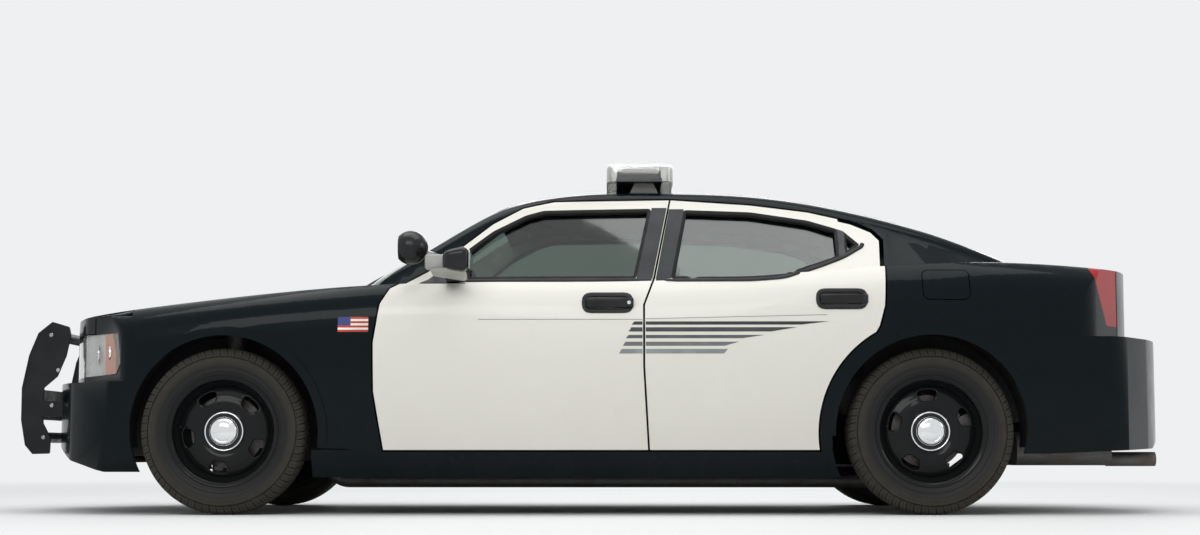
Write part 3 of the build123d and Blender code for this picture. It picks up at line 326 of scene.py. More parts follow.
def addWorld():
    world = bpy.context.scene.world = bpy.data.worlds.new("studio")
    world.use_nodes = True
    tree = world.node_tree
    tree.nodes.clear()
    place = addNode(tree, "ShaderNodeTexCoord")["Generated"]
    height = addNode(tree, "ShaderNodeSeparateXYZ", {0: place})["Z"]
    low, high = studio["skyHeights"]
    inputs = {"Value": height, "From Min": low, "From Max": high}
    share = addNode(tree, "ShaderNodeMapRange", inputs, interpolation_type="SMOOTHSTEP")[0]
    sky = mixColours(tree, share, studio["skyLow"], studio["skyTop"])
    light = addNode(tree, "ShaderNodeBackground", {"Color": sky, "Strength": studio["skyStrength"]})[0]
    seen = addNode(tree, "ShaderNodeBackground", {"Color": (*studio["backdrop"], 1)})[0]
    rays = backdropRays(tree, "Is Camera Ray", "Is Glossy Ray", "Is Transmission Ray")
    addNode(tree, "ShaderNodeOutputWorld", {"Surface": mixShaders(tree, rays, light, seen)})


def addStudio():
    bpy.context.scene.view_settings.view_transform = "Standard"
    addWorld()
    for name, place, target, sizeX, sizeY, watts in studio["lamps"]:
        data = bpy.data.lights.new(name, "AREA")
        data.shape = "RECTANGLE"
        data.size, data.size_y, data.energy = sizeX, sizeY, watts
        lamp = addObject(name, data)
        lamp.location = place
        lamp.rotation_euler = (Vector(target) - Vector(place)).to_track_quat("-Z", "Y").to_euler()
    reach = studio["floorReach"]
    corners = [(-reach, -reach, 0), (reach, -reach, 0), (reach, reach, 0), (-reach, reach, 0)]
    mesh = bpy.data.meshes.new("floor")
    mesh.from_pydata(corners, [], [(0, 1, 2, 3)])
    fadeFloor(newMaterial("floorPaint", studio["floorColour"], 0.7))
    mesh.materials.append(materials["floorPaint"])
    addObject("floor", mesh)


# Making meshes. Every maker takes the name of a finish.


def shade(mesh, angle):
    mesh.shade_smooth()
    mesh.set_sharp_from_angle(angle=math.radians(angle))


def merge(mesh, distance=mergeDistance, turn=True):
    work = bmesh.new()
    work.from_mesh(mesh)
    bmesh.ops.remove_doubles(work, verts=work.verts, dist=distance)
    if turn:
        bmesh.ops.recalc_face_normals(work, faces=work.faces)
    work.to_mesh(mesh)
    work.free()


def dressMesh(name, mesh, names, angle):
    mesh.materials.clear()
    for finish in names:
        mesh.materials.append(materials[finish])
    shade(mesh, angle)
    return addObject(name, mesh)


def meshOf(name, work, finish, angle):
    mesh = bpy.data.meshes.new(name)
    work.to_mesh(mesh)
    work.free()
    return dressMesh(name, mesh, [finish], angle)


def meshFrom(name, verts, faces, finish, angle=35, distance=mergeDistance):
    mesh = bpy.data.meshes.new(name)
    mesh.from_pydata([tuple(v) for v in verts], [], faces)
    merge(mesh, distance)
    return dressMesh(name, mesh, [finish], angle)


# Applies the modifiers of an object and leaves it with a plain mesh.
def bake(made):
    bpy.context.view_layer.update()
    evaluated = made.evaluated_get(bpy.context.evaluated_depsgraph_get())
    mesh = bpy.data.meshes.new_from_object(evaluated)
    mesh.name = made.name
    if made.type == "MESH":
        made.modifiers.clear()
        old, made.data = made.data, mesh
        bpy.data.meshes.remove(old)
        return made
    name = made.name
    bpy.data.objects.remove(made)
    return addObject(name, mesh)


def wallInwards(made, thickness):
    wall = made.modifiers.new("wall", "SOLIDIFY")
    wall.thickness = thickness
    wall.offset = -1


def finer(made):
    fine = made.modifiers.new("fine", "SUBSURF")
    fine.levels = fine.render_levels = 1
    return bake(made)


def joined(name, parts):
    if len(parts) > 1:
        with bpy.context.temp_override(
            active_object=parts[0], selected_editable_objects=parts, selected_objects=parts
        ):
            bpy.ops.object.join()
    parts[0].name = parts[0].data.name = name
    return parts[0]


# Last step of every piece: its parts are joined, it rides on its body, and the CAD nodes that it stands for are
# hidden.
def piece(name, parts, body="body", slot=None, replaced=()):
    made = joined(name, parts)
    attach(made, body)
    if replaced:
        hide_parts(*replaced)
    return made


def pieceFor(node, name, parts):
    return piece(name, parts, bodyOf[node], slotOf[node], [node])


def moved(made, matrix):
    made.data.transform(matrix)
    if matrix.determinant() < 0:
        made.data.flip_normals()
    return made


def sided(side, parts):
    return parts if side > 0 else [moved(part, acrossCar) for part in parts]


# A CAD node's own mesh with its doubles merged, so that curved panels shade smoothly. It replaces the node.
def dressNode(node, name, names, angle=30, choose=None):
    mesh = frame["nodes"][node].data.copy()
    merge(mesh, turn=False)
    for layer in list(mesh.attributes):
        if layer.name == "custom_normal":
            mesh.attributes.remove(layer)
    made = dressMesh(name, mesh, names, angle)
    if choose:
        for polygon in mesh.polygons:
            polygon.material_index = choose(polygon.center, polygon.normal)
    pieceFor(node, name, [made])


# A profile of (offset outwards, radius) turned about a wheel's axis, which lies along Y.
def lathe(name, profile, centre, finish, segments=96, side=1, angle=35, closed=True):
    verts, faces = [], []
    count = len(profile)
    for step in range(segments):
        turn = 2 * math.pi * step / segments
        for offset, radius in profile:
            place = Vector((radius * math.cos(turn), side * offset, radius * math.sin(turn)))
            verts.append(Vector(centre) + place)
        after = (step + 1) % segments
        for n in range(count if closed else count - 1):
            m = (n + 1) % count
            faces.append((step * count + n, step * count + m, after * count + m, after * count + n))
    return meshFrom(name, verts, faces, finish, angle)


# An open profile, turned at the origin and then put in its place.
def turnedPart(name, profile, place, finish, segments, angle=35, closed=False):
    return moved(lathe(name, profile, (0, 0, 0), finish, segments, 1, angle, closed), place)


def roundedBox(name, corner, opposite, radius, finish, segments=3, angle=40):
    low, high = Vector(map(min, corner, opposite)), Vector(map(max, corner, opposite))
    work = bmesh.new()
    bmesh.ops.create_cube(work, size=1)
    bmesh.ops.scale(work, vec=high - low, verts=work.verts)
    bmesh.ops.translate(work, vec=(low + high) / 2, verts=work.verts)
    radius = min(radius, 0.49 * min(high - low))
    bmesh.ops.bevel(work, geom=work.edges[:], offset=radius, segments=segments, profile=0.5, affect="EDGES")
    return meshOf(name, work, finish, angle)


# Boxes on the car: name, (aft of both ends, y of both sides, z of both faces), radius, finish, segments.
def blocks(*rows):
    return [
        roundedBox(name, (xAt(aft1), y1, z1), (xAt(aft2), y2, z2), *rest)
        for name, (aft1, aft2, y1, y2, z1, z2), *rest in rows
    ]


# A round bar along a smooth line through given points.
def tube(name, points, radius, finish, closed=False, smooth=True, sides=3):
    curve = bpy.data.curves.new(name, "CURVE")
    curve.dimensions = "3D"
    curve.bevel_depth = radius
    curve.bevel_resolution = sides
    curve.resolution_u = 6
    curve.use_fill_caps = not closed
    spline = curve.splines.new("NURBS" if smooth else "POLY")
    spline.points.add(len(points) - 1)
    for point, place in zip(spline.points, points):
        point.co = (*place, 1)
    spline.use_cyclic_u = closed
    if smooth:
        spline.order_u = 3
        spline.use_endpoint_u = not closed
    made = bake(addObject(name, curve))
    merge(made.data)
    made.data.materials.clear()
    made.data.materials.append(materials[finish])
    shade(made.data, 50)
    return made


# Outlines seen from the side are lists of (aft, z). Corners get a rounding, then points at even steps.
def roundOutline(points, radius, step=0.02, closed=True):
    path = []
    count = len(points)
    for n, point in enumerate(points):
        here = Vector(point)
        if not closed and n in (0, count - 1):
            path.append(here)
            continue
        before, after = Vector(points[n - 1]), Vector(points[(n + 1) % count])
        reach = min(radius, 0.45 * (here - before).length, 0.45 * (after - here).length)
        start = here + (before - here).normalized() * reach
        finish = here + (after - here).normalized() * reach
        for share in (0, 0.25, 0.5, 0.75, 1):
            path.append(start * (1 - share) ** 2 + here * 2 * share * (1 - share) + finish * share**2)
    spaced = []
    for n in range(len(path) if closed else len(path) - 1):
        here, after = path[n], path[(n + 1) % len(path)]
        length = (after - here).length
        if length > 1e-6:
            pieces = max(1, round(length / step))
            spaced.extend(here.lerp(after, k / pieces) for k in range(pieces))
    return spaced if closed else spaced + [path[-1]]


def alongAt(path, n, closed=True):
    before = path[n - 1] if closed or n else path[n]
    after = path[(n + 1) % len(path)] if closed or n < len(path) - 1 else path[n]
    return (after - before).normalized()


def pushOutline(path, distance):
    area = sum(path[n - 1].cross(here) for n, here in enumerate(path))
    push = distance if area > 0 else -distance
    alongs = [alongAt(path, n) for n in range(len(path))]
    return [here + Vector((along.y, -along.x)) * push for here, along in zip(path, alongs)]


# The outer skin of some nodes, met by lines across the car.
def skinOf(*nodes):
    work = bmesh.new()
    for node in nodes:
        work.from_mesh(frame["nodes"][node].data)
    tree = BVHTree.FromBMesh(work)
    work.free()
    return tree


# Where a line across the car, or down on it for side 0, meets the skin, and the way outwards there.
def meet(tree, aft, other, side):
    outwards = Vector((0, side, 0)) if side else Vector((0, 0, 1))
    start = Vector((xAt(aft), side * 1.5, other)) if side else Vector((xAt(aft), other, 2.2))
    hit, normal = tree.ray_cast(start, -outwards)[:2]
    if hit is None:
        return None, None
    return hit, normal if normal.dot(outwards) > 0 else -normal


# Closes a sheet into a shell: under says where the partner of each point lies on the inner side.
def closeShell(name, work, under, finish, angle):
    tops, rims = list(work.faces), [edge for edge in work.edges if edge.is_boundary]
    partner = {vert: work.verts.new(place) for vert, place in under.items()}
    for face in tops:
        work.faces.new([partner[vert] for vert in reversed(face.verts)])
    for edge in rims:
        a, b = edge.verts
        work.faces.new((a, b, partner[b], partner[a]))
    bmesh.ops.recalc_face_normals(work, faces=work.faces)
    return meshOf(name, work, finish, angle)


# A thin film or plate of some outline that follows the skin below it.
def filmOn(name, tree, outline, finish, lift=0.0009, sink=0.0006, cell=0.03, side=1):
    work = bmesh.new()
    work.faces.new([work.verts.new((*point, 0)) for point in outline])
    for axis, direction in enumerate((Vector((1, 0, 0)), Vector((0, 1, 0)))):
        low, high = (pick(point[axis] for point in outline) for pick in (min, max))
        cuts = int((high - low) / cell)
        for n in range(1, cuts + 1):
            place = direction * (low + (high - low) * n / (cuts + 1))
            geometry = work.verts[:] + work.edges[:] + work.faces[:]
            bmesh.ops.bisect_plane(work, geom=geometry, plane_co=place, plane_no=direction)
    bmesh.ops.triangulate(work, faces=[face for face in work.faces if len(face.verts) > 4])
    places = {vert: meet(tree, vert.co.x, vert.co.y, side) for vert in work.verts}
    known = [(vert.co.copy(), hit, normal) for vert, (hit, normal) in places.items() if hit is not None]
    for vert in work.verts:
        if places[vert][0] is None:  # past the skin's edge the film goes straight on
            near, hit, normal = min(known, key=lambda item: (item[0] - vert.co).length)
            shift = vert.co - near
            step = Vector((-shift.x, 0, shift.y))
            places[vert] = hit + step - normal * step.dot(normal), normal
    for vert, (hit, normal) in places.items():
        vert.co = hit + normal * lift
    under = {vert: hit - normal * sink for vert, (hit, normal) in places.items()}
    return closeShell(name, work, under, finish, 40)


# The skin under a path of (aft, z). Where the path leaves the skin, it goes straight on.
def followSkin(tree, path, side):
    places, normals = [], []
    for aft, z in path:
        hit, normal = meet(tree, aft, z, side)
        if hit is None and places:
            hit, normal = Vector((xAt(aft), places[-1].y, z)), normals[-1]
        if hit is not None:
            places.append(hit)
            normals.append(normal)
    return places, normals


# A rubber or trim section carried along a line on the skin. The section is (across, proud) points.
def stripOn(name, places, normals, section, finish, closed=True, angle=40):
    verts, faces = [], []
    count, width = len(places), len(section)
    for n, place in enumerate(places):
        along = alongAt(places, n, closed)
        normal = (normals[n] - along * normals[n].dot(along)).normalized()
        across = along.cross(normal)
        verts.extend(place + across * u + normal * v for u, v in section)
    for n in range(count if closed else count - 1):
        m = (n + 1) % count
        for k in range(width):
            j = (k + 1) % width
            faces.append((n * width + k, n * width + j, m * width + j, m * width + k))
    if not closed:
        faces.append(tuple(range(width)))
        faces.append(tuple((count - 1) * width + k for k in reversed(range(width))))
    return meshFrom(name, verts, faces, finish, angle)


def band(name, tree, outline, away, section, finish, side=1, rounding=0.014, step=0.02):
    places, normals = followSkin(tree, pushOutline(roundOutline(outline, rounding, step), away), side)
    centre = sum(places, Vector()) / len(places)
    inwards = 0
    for n, place in enumerate(places):
        inwards += alongAt(places, n).cross(normals[n]).normalized().dot((centre - place).normalized())
    sign = 1 if inwards > 0 else -1
    return stripOn(name, places, normals, [(sign * u, v) for u, v in section], finish)


def line(name, tree, points, section, finish, side=1):
    places, normals = followSkin(tree, roundOutline(points, 0.03, 0.03, closed=False), side)
    return stripOn(name, places, normals, section, finish, False)


# The outer skin of a CAD solid's chosen faces, as a shell between two depths.
def skinShell(node, name, keep, outer, inner, finish):
    work = bmesh.new()
    work.from_mesh(frame["nodes"][node].data)
    bmesh.ops.remove_doubles(work, verts=work.verts, dist=mergeDistance)
    work.normal_update()
    dropped = [face for face in work.faces if not keep(face.normal)]
    bmesh.ops.delete(work, geom=dropped, context="FACES")
    work.normal_update()
    under = {vert: vert.co + vert.normal * inner for vert in work.verts}
    for vert in work.verts:
        vert.co += vert.normal * outer
    return closeShell(name, work, under, finish, 30)


# Pulls the points of a mesh in towards an axis along X, more and more from one place to another.
def tapered(made, start, finish, centre, shrink):
    for vert in made.data.vertices:
        share = min(1, max(0, (vert.co.x - start) / (finish - start)))
        for axis in (1, 2):
            middle = centre[axis - 1]
            vert.co[axis] = middle + (vert.co[axis] - middle) * (1 - shrink[axis - 1] * share)
    return made


# Geometry Nodes trees for what repeats


def newTree(name, **inputs):
    tree = bpy.data.node_groups.new(name, "GeometryNodeTree")
    for label, kind in (("Geometry", "Geometry"), *inputs.items(), ("Material", "Material")):
        tree.interface.new_socket(label, in_out="INPUT", socket_type=f"NodeSocket{kind}")
    tree.interface.new_socket("Geometry", in_out="OUTPUT", socket_type="NodeSocketGeometry")
    return tree, addNode(tree, "NodeGroupInput")


def instances(tree, points, block, **inputs):
    return addNode(tree, "GeometryNodeInstanceOnPoints", {"Points": points, "Instance": block, **inputs})[0]


def endTree(tree, start, copies):
    real = addNode(tree, "GeometryNodeRealizeInstances", {0: copies})[0]
    inputs = {"Geometry": real, "Material": start["Material"]}
    addNode(tree, "NodeGroupOutput", {0: addNode(tree, "GeometryNodeSetMaterial", inputs)[0]})
    return tree


# Copies of a block turned about the Y axis through Centre.
def makeRingTree():
    tree, start = newTree("copiesOnRing", Count="Int", Centre="Vector")
    points = addNode(tree, "GeometryNodePoints", {"Count": start["Count"]})[0]
    share = maths(tree, "DIVIDE", addNode(tree, "GeometryNodeInputIndex")[0], start["Count"])
    angles = addNode(tree, "ShaderNodeCombineXYZ", {"Y": maths(tree, "MULTIPLY", share, 2 * math.pi)})[0]
    copies = instances(tree, points, start["Geometry"], Rotation=angles)
    inputs = {"Geometry": copies, "Translation": start["Centre"]}
    return endTree(tree, start, addNode(tree, "GeometryNodeTransform", inputs)[0])


# Copies of a block in even steps along a row.
def makeRowTree():
    tree, start = newTree("copiesInRow", Count="Int", Step="Vector")
    places = addNode(tree, "GeometryNodeMeshLine", {"Count": start["Count"], "Offset": start["Step"]})[0]
    return endTree(tree, start, instances(tree, places, start["Geometry"]))


# Stitches laid end to end along a path of edges.
def makePathTree():
    tree, start = newTree("beadsOnPath", Spacing="Float", Length="Float", Radius="Float")
    curve = addNode(tree, "GeometryNodeMeshToCurve", {0: start["Geometry"]})[0]
    inputs = {"Curve": curve, "Length": start["Spacing"]}
    points = addNode(tree, "GeometryNodeCurveToPoints", inputs, mode="LENGTH")
    inputs = {"Segments": 6, "Rings": 4, "Radius": start["Radius"]}
    bead = addNode(tree, "GeometryNodeMeshUVSphere", inputs)["Mesh"]
    ratio = maths(tree, "DIVIDE", start["Length"], start["Radius"])
    scale = addNode(tree, "ShaderNodeCombineXYZ", {"X": 1, "Y": 1, "Z": ratio})[0]
    copies = instances(tree, points["Points"], bead, Rotation=points["Rotation"], Scale=scale)
    return endTree(tree, start, copies)


def grow(made, tree, finish, **values):
    modifier = made.modifiers.new("grow", "NODES")
    modifier.node_group = tree
    values["Material"] = materials[finish]
    identifiers = {item.name: item.identifier for item in tree.interface.items_tree if item.in_out == "INPUT"}
    for label, value in values.items():
        modifier[identifiers[label]] = value
    made = bake(made)
    shade(made.data, 30)
    return made


def row(made, finish, count, step):
    return grow(made, rowTree, finish, Count=count, Step=step)


for maker, rows in finishes.items():
    for name, values in rows.items():
        maker(name, *values)
ringTree, rowTree, pathTree = makeRingTree(), makeRowTree(), makePathTree()
addCamera()
addStudio()
print("camera, studio and materials made")


# Painted panels: each is the CAD panel's own shape, with its paint outside and its lining inside


panelLook = {
    # node: (piece, paint outside, lining, which way is outside, smoothing angle)
    **{
        node: (f"doorSkin{end.title()}{word}", "whitePaint", "cabinPlastic", "side", 32)
        for end, _, word, node in doorsByEnd
    },
    "side_frame_left": ("bodySideLeft", "blackPaint", "palePlastic", "side", 32),
    "side_frame_right": ("bodySideRight", "blackPaint", "palePlastic", "side", 32),
    "fenders": ("frontFenders", "blackPaint", "underCoat", "side", 32),
    "roof_panel": ("roofSkin", "blackPaint", "headliner", "top", 32),
    "hood": ("hoodSkin", "blackPaint", "underCoat", "top", 32),
    "trunk_lid": ("bootLidSkin", "blackPaint", "underCoat", "top", 32),
    "front_bumper": ("frontBumperSkin", "blackPaint", "trimPlastic", "end", 58),
    "rear_bumper": ("rearBumperSkin", "blackPaint", "trimPlastic", "end", 58),
    "cowl": ("cowlCover", "roughPlastic", "roughPlastic", "top", 32),
}


turnedIn = -0.25  # a face that turns inwards by less than this still belongs to the outside


def isOutside(centre, normal, kind):
    if kind == "side":
        return normal.y * math.copysign(1, centre.y) > turnedIn
    if kind == "top":
        return normal.z > turnedIn
    flat = Vector((centre.x, centre.y, 0)).normalized()
    return normal.dot(flat) > turnedIn or normal.z > 0.5


def makePanels():
    for node, (name, paintName, lining, kind, angle) in panelLook.items():
        choose = lambda centre, normal: 0 if isOutside(centre, normal, kind) else 1
        dressNode(node, name, [paintName, lining], angle, choose)


# The painted corner between the hood, the fender and the front bumper, behind each headlamp's top.
cornerLook = {
    "points": (  # aft, y, z
        (-0.615, 0.688, 0.8615), (-0.5, 0.688, 0.883), (-0.395, 0.688, 0.8935), (-0.395, 0.745, 0.8935),
        (-0.4, 0.79, 0.884), (-0.455, 0.8, 0.8612), (-0.54, 0.77, 0.8608), (-0.59, 0.73, 0.8608),
        (-0.5, 0.735, 0.874), (-0.44, 0.75, 0.885),
    ),
    "faces": (
        (0, 1, 7), (1, 8, 7), (7, 8, 6), (1, 2, 9), (1, 9, 8), (2, 3, 9), (3, 4, 9), (4, 5, 9), (5, 8, 9),
        (5, 6, 8),
    ),
    "wall": 0.003,
}


def makeCorners():
    parts = []
    for side, _ in sides:
        top = [(xAt(aft), side * y, z) for aft, y, z in cornerLook["points"]]
        made = meshFrom("corner", top, cornerLook["faces"], "blackPaint", 40)
        if made.data.polygons[0].normal.z < 0:
            made.data.flip_normals()
        wallInwards(made, cornerLook["wall"])
        parts.append(bake(made))
    piece("frontCorners", parts, "body", slotOf["front_bumper"])


makePanels()
makeCorners()
print("panels made")


# Wheels and tyres


tyreLook = {
    # half of the tread's outer line from the middle outwards, then of the side wall: (offset, radius)
    "tread": (
        (0, 0.358), (0.056, 0.358), (0.079, 0.3545), (0.092, 0.349), (0.1, 0.342), (0.1072, 0.331),
        (0.11, 0.322),
    ),
    "treadDepth": 0.0065,
    "rooted": 0.0015,  # how much deeper the blocks reach
    "wall": (
        (0.1118, 0.3172), (0.1126, 0.3135), (0.1118, 0.3122), (0.1124, 0.3085), (0.113, 0.301),
        (0.1126, 0.293), (0.1108, 0.2852), (0.1113, 0.284), (0.111, 0.2822), (0.11, 0.2812),
        (0.1068, 0.2735), (0.105, 0.268), (0.1058, 0.2652), (0.105, 0.261), (0.1018, 0.256),
        (0.0978, 0.249), (0.0935, 0.2432),
    ),
    "inside": ((0.086, 0.2292), (0.07, 0.2292), (0.08, 0.262), (0.098, 0.3), (0.084, 0.336), (0, 0.338)),
    "sectors": 66,
    "ribs": (  # offsets of both edges, then shift and slant in shares of a sector, and steps across
        (-0.0135, 0.0135, 0.0, 0.0, 2), (0.0185, 0.046, 0.45, 0.35, 2), (-0.046, -0.0185, 0.1, -0.35, 2),
        (0.0515, 0.1098, 0.7, 0.5, 6), (-0.1098, -0.0515, 0.35, -0.5, 6),
    ),
    "blockShare": 0.86,
    "sipe": 0.035,
    "wallRib": {"radii": (0.2975, 0.3075), "offset": 0.1122, "half": 0.0009, "count": 180},
    "dusty": (0.262, 0.322),  # radii between which the road dust sets in
}


def smoothShare(share):
    return share * share * (3 - 2 * share)


def dustTyre(made, centre):
    low, high = tyreLook["dusty"]
    layer = made.data.attributes.new("dust", "FLOAT", "POINT")
    for vert, entry in zip(made.data.vertices, layer.data):
        radius = math.hypot(vert.co.x - centre.x, vert.co.z - centre.z)
        entry.value = smoothShare(min(1, max(0, (radius - low) / (high - low))))


def treadLine(offset):
    points = tyreLook["tread"]
    for (y1, r1), (y2, r2) in zip(points, points[1:]):
        if abs(offset) <= y2 + 1e-6:
            share = (abs(offset) - y1) / (y2 - y1)
            along = Vector((y2 - y1, r2 - r1)).normalized()
            return Vector((abs(offset), r1 + (r2 - r1) * share)), Vector((-along.y, along.x))
    return Vector(points[-1]), Vector((1, 0))


def treadSector():
    pitch = 2 * math.pi / tyreLook["sectors"]
    span = pitch * tyreLook["blockShare"]
    half = (1 - tyreLook["sipe"]) / 2
    verts, faces = [], []
    for low, high, shift, slant, steps in tyreLook["ribs"]:
        for begin, end in ((0, half), (1 - half, 1)):
            first = len(verts)
            for n in range(steps + 1):
                offset = low + (high - low) * n / steps
                place, normal = treadLine(offset)
                for depth in (0, tyreLook["treadDepth"] + tyreLook["rooted"]):
                    y, radius = place - normal * depth
                    for share in (begin, (begin + end) / 2, end):
                        turn = pitch * (shift + slant * n / steps) + span * share
                        across = math.copysign(y, offset)
                        verts.append((radius * math.cos(turn), across, radius * math.sin(turn)))
            for n in range(steps):
                a, b = first + n * 6, first + (n + 1) * 6
                faces += [(a, a + 1, b + 1, b), (a + 1, a + 2, b + 2, b + 1)]
                faces += [(a + 3, b + 3, b + 4, a + 4), (a + 4, b + 4, b + 5, a + 5)]
                faces += [(a, b, b + 3, a + 3), (a + 2, a + 5, b + 5, b + 2)]
            for a in (first, first + steps * 6):
                faces += [(a, a + 1, a + 4, a + 3), (a + 1, a + 2, a + 5, a + 4)]
    return verts, faces


def tyreCarcass():
    half = []
    for point in tyreLook["tread"]:
        half.append(tuple(Vector(point) - treadLine(point[0])[1] * tyreLook["treadDepth"]))
    half += [*tyreLook["wall"], *tyreLook["inside"][:-1]]
    far = [(-y, r) for y, r in reversed(half[1:])]
    return half + [tyreLook["inside"][-1]] + far


def makeTyre(end, word, centre, side):
    rib = tyreLook["wallRib"]
    carcass = lathe("carcass", tyreCarcass(), centre, "tyreRubber", 132, side, 32)
    verts, faces = treadSector()
    block = meshFrom("tread", [(x, side * y, z) for x, y, z in verts], faces, "tyreRubber", 30)
    tread = grow(block, ringTree, "tyreRubber", Count=tyreLook["sectors"], Centre=centre)
    (low, high), y, half = rib["radii"], side * rib["offset"], rib["half"]
    block = roundedBox("wallRib", (low, y - half, -half), (high, y + half, half), 0.0004, "tyreRubber", 1)
    ribs = grow(block, ringTree, "tyreRubber", Count=rib["count"], Centre=centre)
    made = pieceFor(f"tyre_{end}_{word.lower()}", f"tyre{end.title()}{word}", [carcass, tread, ribs])
    dustTyre(made, centre)


wheelLook = {
    "ventTurns": {"frontLeft": 62, "frontRight": 62, "rearLeft": 86, "rearRight": 14},
    "ventCount": 5,
    "ventRadius": 0.156,
    "ventHalfWidth": (0.031, 0.041),  # towards the hub, towards the rim
    "ventHalfHeight": 0.0245,
    "ventCorner": 0.5,  # how square: 0 round, 1 sharp
    "ventLoops": (  # how far outside the vent's edge, and how much higher than the disc's face
        (-0.0008, -0.0085), (0.0, -0.004), (0.0016, -0.0006), (0.0048, 0.0006),
    ),
    "sectorRows": (0.122, 0.19),
    "dish": (  # radius, offset outwards of the pressed disc's face
        (0.07, 0.0525), (0.0865, 0.0535), (0.092, 0.0555), (0.1, 0.06), (0.112, 0.0635), (0.122, 0.064),
        (0.15, 0.058), (0.17, 0.05), (0.19, 0.041), (0.196, 0.036), (0.2035, 0.026),
    ),
    "sheet": 0.004,
    "discSteps": (10, 18),  # of a sector's border: along a side, along its inner or outer edge
    "rim": (  # this and the profiles below: (offset outwards, radius)
        (-0.0945, 0.2405), (-0.095, 0.2385), (-0.0945, 0.234), (-0.092, 0.23), (-0.087, 0.2222),
        (-0.08, 0.2188), (-0.06, 0.2165), (-0.05, 0.1975), (-0.044, 0.196), (0.03, 0.196),
        (0.037, 0.1985), (0.05, 0.215), (0.06, 0.218), (0.08, 0.219), (0.0868, 0.2222), (0.0905, 0.229),
        (0.0935, 0.2345), (0.095, 0.2385), (0.0945, 0.241), (0.0925, 0.2422), (0.09, 0.2424),
        (0.0872, 0.2415), (0.0862, 0.231), (0.085, 0.229), (0.08, 0.2284), (0.054, 0.2262),
        (0.048, 0.224), (0.03, 0.2052), (-0.042, 0.2052), (-0.053, 0.2262), (-0.08, 0.2284),
        (-0.085, 0.229), (-0.0862, 0.231), (-0.0872, 0.2415), (-0.09, 0.2424), (-0.0925, 0.2422),
    ),
    "valve": ((0.192, 0.04, 0.02), (0.188, 0.058, 0.02), (0.186, 0.07, 0.02)),
    "valveRadius": 0.0042,
    "cap": (
        (0.0525, 0.0775), (0.0525, 0.086), (0.057, 0.0862), (0.0625, 0.0852), (0.0655, 0.0835),
        (0.066, 0.0812), (0.0648, 0.079), (0.0615, 0.0775),
    ),
    "capDish": (
        (0.056, 0.079), (0.06, 0.0785), (0.059, 0.072), (0.059, 0.066), (0.06, 0.0655), (0.054, 0.0655),
    ),
    "capDome": (
        (0.056, 0.066), (0.064, 0.0652), (0.07, 0.0635), (0.077, 0.06), (0.0822, 0.055), (0.0852, 0.05),
        (0.0862, 0.0465), (0.0855, 0.045), (0.0862, 0.0435), (0.089, 0.0385), (0.0925, 0.03),
        (0.095, 0.018), (0.0958, 0.006), (0.096, 0.0001), (0.056, 0.0001),
    ),
    "rotor": (
        (-0.0418, 0.072), (-0.0418, 0.158), (-0.0405, 0.1598), (-0.0355, 0.1598), (-0.0342, 0.158),
        (-0.0342, 0.148), (-0.028, 0.148), (-0.028, 0.158), (-0.0267, 0.1598), (-0.0215, 0.1598),
        (-0.0202, 0.158), (-0.0202, 0.094), (-0.015, 0.08), (0.03, 0.0775), (0.0455, 0.076),
        (0.0455, 0.032), (-0.0418, 0.032),
    ),
}


def dishAt(radius):
    points = wheelLook["dish"]
    for (r1, y1), (r2, y2) in zip(points, points[1:]):
        if radius <= r2:
            share = (radius - r1) / (r2 - r1)
            return y1 + (y2 - y1) * (smoothShare(share) * 0.35 + share * 0.65)
    return points[-1][1]


# The edge of a vent, or a loop around it, met from the vent's middle along a ray: a rounded square.
def ventEdge(ray, more):
    near, far = wheelLook["ventHalfWidth"]
    square = 2 + 4 * wheelLook["ventCorner"]
    tall = wheelLook["ventHalfHeight"] + more
    cos, sin = math.cos(ray), math.sin(ray)
    reach = 0.03
    for _ in range(12):  # settles, because the width depends on the height
        share = (reach * sin / tall + 1) / 2
        wide = near + (far - near) * min(1, max(0, share)) + more
        reach = ((abs(cos) / wide) ** square + (abs(sin) / tall) ** square) ** (-1 / square)
    return Vector((reach * cos, reach * sin))


